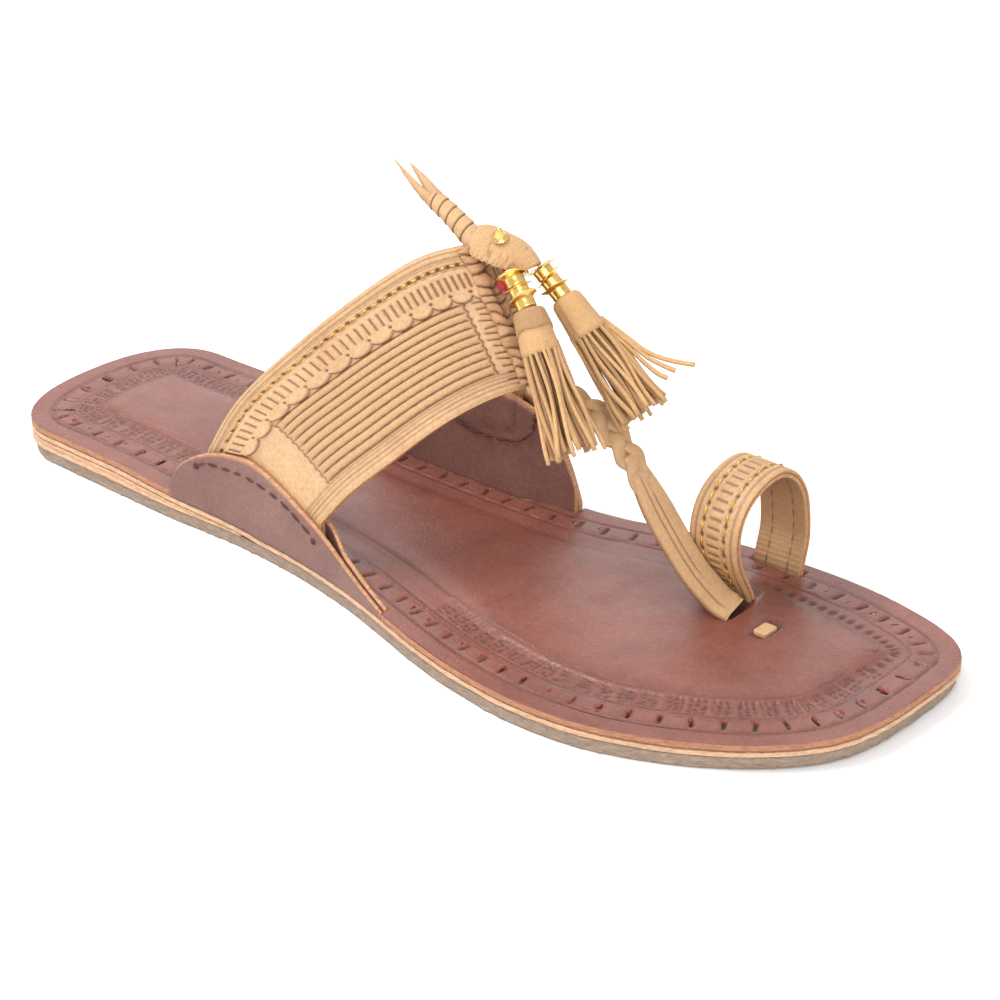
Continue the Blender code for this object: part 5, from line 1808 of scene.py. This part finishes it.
def bead_skin(row, gold):
    """Short gold tubes with a thin flared ring round the top of each."""
    top, cap_end, _ = tassel_line(row)
    axis = (top - cap_end).normalized()
    pitch = BEAD_LENGTH / FLANGES
    made = Bundle()
    phase = 0.0 if row.name == "near" else 1.7
    for k in range(FLANGES):
        z = -k * pitch
        profile = [(1.10 * r * BEAD_RADIUS, z + h * pitch) for r, h in BEAD_BODY]
        made.loops(turned_loops(profile, top, axis, 44))
        tilt = phase + 2.3 * k

        def flare(r, height, angle, tilt=tilt):
            out = max((r - BEAD_RADIUS) / (FLANGE_RADIUS - BEAD_RADIUS), 0.0)
            lift = 0.00050 * out * math.sin(angle + tilt) + 0.00010 * out * math.sin(3 * angle)
            return r * (1 + 0.03 * math.sin(2 * angle + tilt)), height + lift

        profile = [(r * BEAD_RADIUS, z + (h - 0.04) * pitch) for r, h in BEAD_RING]
        made.loops(turned_loops(profile, top, axis, 44, flare))
    hook = []
    side = Vector((0, 1, 0)).cross(axis).normalized()
    for k in range(24):
        share = k / 23
        angle = 5.2 * share + phase
        hook.append(
            top
            + axis * (0.0005 * math.sin(3 * share) - 0.0006)
            + side * (0.0013 * math.cos(angle))
            + Vector((0, 0.0013 * math.sin(angle), 0))
        )
    made.loops(round_loops(hook, [0.00028] * len(hook), 8))
    hanger = [top + axis * (0.0004 * k - 0.0012) for k in range(8)]
    made.loops(round_loops(hanger, [0.00042] * len(hanger), 12))
    made.finish(f"beads_{row.name}", gold, (f"bead_stack_{row.name}",))


# Strips in each ring, and the ring's share of the radius
STRAND_ROWS = ((19, 1.00), (15, 0.76), (9, 0.48))
# Corners of a strip's section, as shares of its half width and half wall
STRIP_SECTION = ((-1, -0.7), (-0.8, -1), (0.8, -1), (1, -0.7), (1, 0.7), (0.8, 1), (-0.8, 1), (-1, 0.7))


def cut_strip(bundle, path, outward, width, wall, tone):
    """One cut strip of leather along a path, its face turned outward."""
    loops = []
    last = len(path) - 1
    for k, point in enumerate(path):
        along = way_at(path, k)
        face = (outward - along * outward.dot(along)).normalized()
        side = along.cross(face)
        w = width * (1 - 0.12 * math.sin(3.0 * k / last + width * 9000)) / 2
        loops.append([point + side * a * w + face * b * (wall / 2) for a, b in STRIP_SECTION])
    # Painted shade, deeper at the root under the cap.
    bundle.loops(loops, [tone * (1.3 - 0.7 * k / last) for k in range(last + 1)], 0.0, 0.55)


# Loose strips of the far tassel: the places they pass, in mm from the heel
STRAYS = (
    (
        (164.5, 11.6, 70.0), (170.0, 13.2, 66.8), (175.0, 14.6, 63.9),
        (179.5, 16.8, 62.3), (184.9, 20.1, 61.5),
    ),
    (
        (165.0, 11.0, 69.5), (171.0, 12.8, 65.9), (175.6, 14.0, 63.0),
        (179.0, 15.4, 61.4), (182.0, 16.8, 60.3),
    ),
    (
        (165.0, 10.6, 69.0), (171.0, 12.2, 65.2), (175.8, 13.4, 61.6),
        (179.3, 14.2, 59.6), (181.2, 15.1, 58.9),
    ),
    (
        (165.5, 10.4, 67.5), (172.0, 11.4, 62.0), (177.0, 12.2, 58.2),
        (180.6, 12.7, 55.6), (182.3, 13.0, 54.6),
    ),
)


# Radius and height of a tassel's rolled cap, and of the patch round the near one
CAP_SHAPE = (
    (0.10, 0.07), (0.45, 0.065), (0.70, 0.03), (0.82, -0.05), (0.88, -0.25), (0.92, -0.45),
    (0.96, -0.62), (0.99, -0.78), (1.01, -0.88), (1.02, -0.95), (0.92, -0.99), (0.60, -1.00),
)
CAP_PATCH = ((0.70, 0.035), (0.82, -0.05), (0.88, -0.22), (0.94, -0.40), (0.95, -0.50), (0.90, -0.51))


def tassel_skin(row, look):
    """A rolled cap, and under it three rings of cut strips."""
    top, cap_end, fringe_end = tassel_line(row)
    axis = (top - cap_end).normalized()
    cap_top = top - axis * (BEAD_LENGTH + CAP_GAP)
    hang = (cap_top - fringe_end).normalized()
    fringe = (cap_top - fringe_end).length - CAP_LENGTH
    seed = 1 if row.name == "near" else 5
    made = Bundle()

    def rolled(r, z, angle):
        step = 0.00045 * (1 - ((angle + 0.9 * seed) % (2 * math.pi)) / (2 * math.pi))
        place = Vector((r * math.cos(angle), r * math.sin(angle), z + seed))
        bump = 0.00016 * noise_at(place, 330.0)
        return max(r + (step + bump - 0.0002) * min(r / CAP_RADIUS * 1.2, 1.0), 0.0002), z

    def ragged(r, z, angle):
        r, z = rolled(r, z, angle)
        return r + 0.00014, z * (1 + 0.18 * math.sin(angle + 2.2) + 0.07 * math.sin(3 * angle))

    def add_cap(shape, wave, tone, nap):
        profile = [(r * CAP_RADIUS, h * CAP_LENGTH) for r, h in shape]
        made.loops(turned_loops(profile, cap_top, hang, 48, wave), tone, 0.0, nap)

    add_cap(CAP_SHAPE, rolled, 0.16, 0.55)
    if row.name == "near":
        add_cap(CAP_PATCH, ragged, 0.42, 0.2)
    side = hang.cross(Vector((0, 1, 0))).normalized()
    up = hang.cross(side)
    steps = 12
    for ring, (count, share) in enumerate(STRAND_ROWS):
        root = CAP_RADIUS * share * 0.91
        for k in range(count):
            key = k + 40 * ring + 100 * seed
            angle = 2 * math.pi * (k + 0.60 * chance(key, 1)) / count
            length = fringe * (1.0 + 0.09 * (chance(key, 2) - 0.5) - 0.07 * ring * 0.5)
            splay = FRINGE_RADIUS * share * (1.08 + 0.30 * (chance(key, 3) - 0.4))
            drift = 0.45 * (chance(key, 4) - 0.5)
            path = []
            for j in range(steps + 1):
                part = j / steps
                turn = angle + drift * part**1.4 + 0.11 * math.sin(5 * part + key)
                reach = root + (splay - root) * part**1.1
                reach += 0.00065 * math.sin(5.5 * part + 2.1 * key) * part
                radial = side * math.cos(turn) + up * math.sin(turn)
                fall = CAP_LENGTH * 0.80 + (length + CAP_LENGTH * 0.20) * part
                path.append(cap_top + radial * reach - hang * fall)
            outward = side * math.cos(angle) + up * math.sin(angle)
            width = 0.00100 - 0.00024 * chance(key, 6)
            # Painted shade, deeper on the inner rings; the chance part is the leather's own random tone.
            tone = 0.04 + 0.38 * ring + 0.36 * chance(key, 7) ** 2
            cut_strip(made, path, outward, width, 0.0008, tone)
    if row.name == "far":
        for stray in STRAYS:
            path = curve_through([Vector(place) / 1000 for place in stray], 6)
            cut_strip(made, path, Vector((0.3, -0.4, 0.85)), 0.00090, 0.0007, 0.12)
    made.finish(f"tassel_{row.name}_skin", look, (f"tassel_{row.name}",))


# Materials, pieces and stage


def dress():
    brown = leather(
        "footbed leather", (0.228, 0.073, 0.052), (0.165, 0.050, 0.035), line=(0.022, 0.006, 0.005),
        raw=(0.46, 0.20, 0.10), rough=(0.35, 0.48), grain=1500.0, depth=0.34, coat=0.18,
    )
    flap = leather(
        "flap leather plies", (0.215, 0.103, 0.082), (0.170, 0.076, 0.060), line=(0.045, 0.016, 0.013),
        raw=(0.58, 0.29, 0.15), rough=(0.44, 0.56), grain=1700.0, depth=0.25,
    )
    tan = leather(
        "vegetable tan leather", (0.585, 0.367, 0.190), (0.495, 0.290, 0.142), line=(0.125, 0.042, 0.018),
        raw=(0.58, 0.30, 0.13), nap=(0.49, 0.298, 0.150), rough=(0.45, 0.62), grain=1900.0, depth=0.22,
    )
    suede = leather(
        "brown suede", (0.42, 0.22, 0.11), (0.34, 0.17, 0.08), line=(0.07, 0.025, 0.012),
        raw=(0.50, 0.27, 0.12), nap=(0.51, 0.300, 0.143), rough=(0.75, 0.92), grain=1500.0,
        depth=0.5, sheen=0.15,
    )
    # Its line colour serves as painted shade among the strips.
    strips = leather(
        "tassel leather", (0.60, 0.36, 0.17), (0.50, 0.28, 0.12), line=(0.115, 0.042, 0.016),
        raw=(0.62, 0.36, 0.17), nap=(0.61, 0.362, 0.165), rough=(0.60, 0.80), grain=1500.0, depth=0.4,
    )
    strap_tan = leather(
        "thong leather", (0.56, 0.33, 0.155), (0.46, 0.26, 0.12), line=(0.09, 0.035, 0.016),
        raw=(0.56, 0.30, 0.14), nap=(0.56, 0.350, 0.185), rough=(0.50, 0.70), grain=1500.0, depth=0.4,
    )
    pale = leather(
        "pale sole leather", (0.72, 0.43, 0.26), (0.62, 0.34, 0.18), line=(0.26, 0.11, 0.05),
        raw=(0.72, 0.44, 0.27), rough=(0.6, 0.8), depth=0.4,
    )
    rubber = leather(
        "taupe crepe rubber", (0.36, 0.265, 0.20), (0.28, 0.205, 0.15), line=(0.09, 0.06, 0.045),
        raw=(0.35, 0.255, 0.19), rough=(0.7, 0.9), grain=900.0, depth=0.45,
    )
    gold = metal("polished gold", (0.90, 0.60, 0.20))
    gold_thread = thread("gold lurex thread", (0.84, 0.55, 0.17), (0.40, 0.22, 0.05), 0.35, 0.75)
    red_thread = thread("red waxed thread", (0.42, 0.045, 0.035), (0.16, 0.012, 0.010))
    dark_thread = thread("dark red waxed thread", (0.17, 0.024, 0.020), (0.055, 0.008, 0.008))
    bright_red = thread("bright red thread", (0.60, 0.02, 0.03), (0.33, 0.008, 0.014))
    outsole_skin(rubber)
    lift_skin(pale)
    midsole_skin(pale)
    edge = Edge()
    insole_skin(brown, edge)
    insole_stitches(red_thread, tan)
    for side in (-1, 1):
        for inner_ply in (False, True):
            flap_skin(side, inner_ply, flap)
    flap_stitches(dark_thread)
    band_skin(tan)
    band_stitches(gold_thread)
    gathers = leather(
        "gathered brown leather", (0.42, 0.22, 0.11), (0.34, 0.17, 0.08), line=(0.085, 0.032, 0.016),
        nap=(0.60, 0.335, 0.165), rough=(0.60, 0.80), grain=1500.0, depth=0.5,
    )
    seam_skin(gathers)
    plait(strap_tan)
    strap(strap_tan)
    tongue_skin(suede)
    horn_skin(strap_tan)
    loop_skin(tan)
    loop_stitches(gold_thread)
    tab_skin(strap_tan)
    stud_skin(gold)
    knot_skin(bright_red)
    for row in TASSEL_ROWS:
        bead_skin(row, gold)
        tassel_skin(row, strips)


def camera():
    data = bpy.data.cameras.new("camera")
    data.lens = 105.84
    data.sensor_width = 36.0
    data.clip_start = 0.01
    made = bpy.data.objects.new("camera", data)
    made.location = (0.41539, -0.45365, 0.34231)
    made.rotation_euler = (math.radians(62.0), 0.0, math.radians(41.272))
    bpy.context.scene.collection.objects.link(made)
    bpy.context.scene.camera = made


LIGHT_TARGET = Vector((0.0, 0.0, 0.03))


def area_light(name, place, size, power):
    data = bpy.data.lights.new(name, "AREA")
    data.shape = "DISK"
    data.size = size
    data.energy = power
    made = bpy.data.objects.new(name, data)
    made.location = place
    made.rotation_euler = (Vector(place) - LIGHT_TARGET).to_track_quat("Z", "Y").to_euler()
    bpy.context.scene.collection.objects.link(made)


def world():
    made = bpy.data.worlds.new("studio")
    made.use_nodes = True
    back = made.node_tree.nodes["Background"]
    back.inputs["Color"].default_value = (1.0, 1.0, 1.0, 1.0)
    back.inputs["Strength"].default_value = 0.9
    bpy.context.scene.world = made
    bpy.context.scene.view_settings.view_transform = "Standard"


def floor():
    mesh = bpy.data.meshes.new("floor")
    half = 4.0
    corners = [(x, y, -0.0002) for x, y in ((-half, -half), (half, -half), (half, half), (-half, half))]
    mesh.from_pydata(corners, [], [(0, 1, 2, 3)])
    made = bpy.data.objects.new("floor", mesh)
    bpy.context.scene.collection.objects.link(made)
    look, _, shader = new_material("floor paper")
    shader.inputs["Base Color"].default_value = (0.90, 0.90, 0.90, 1.0)
    shader.inputs["Roughness"].default_value = 0.9
    mesh.materials.append(look)


dress()
camera()
world()
floor()
area_light("key", (-0.5, -0.35, 1.0), 0.7, 11.0)
area_light("fill", (0.7, -0.6, 0.7), 1.0, 7.0)
area_light("sheen", (-0.85, 0.95, 0.75), 1.1, 2.6)
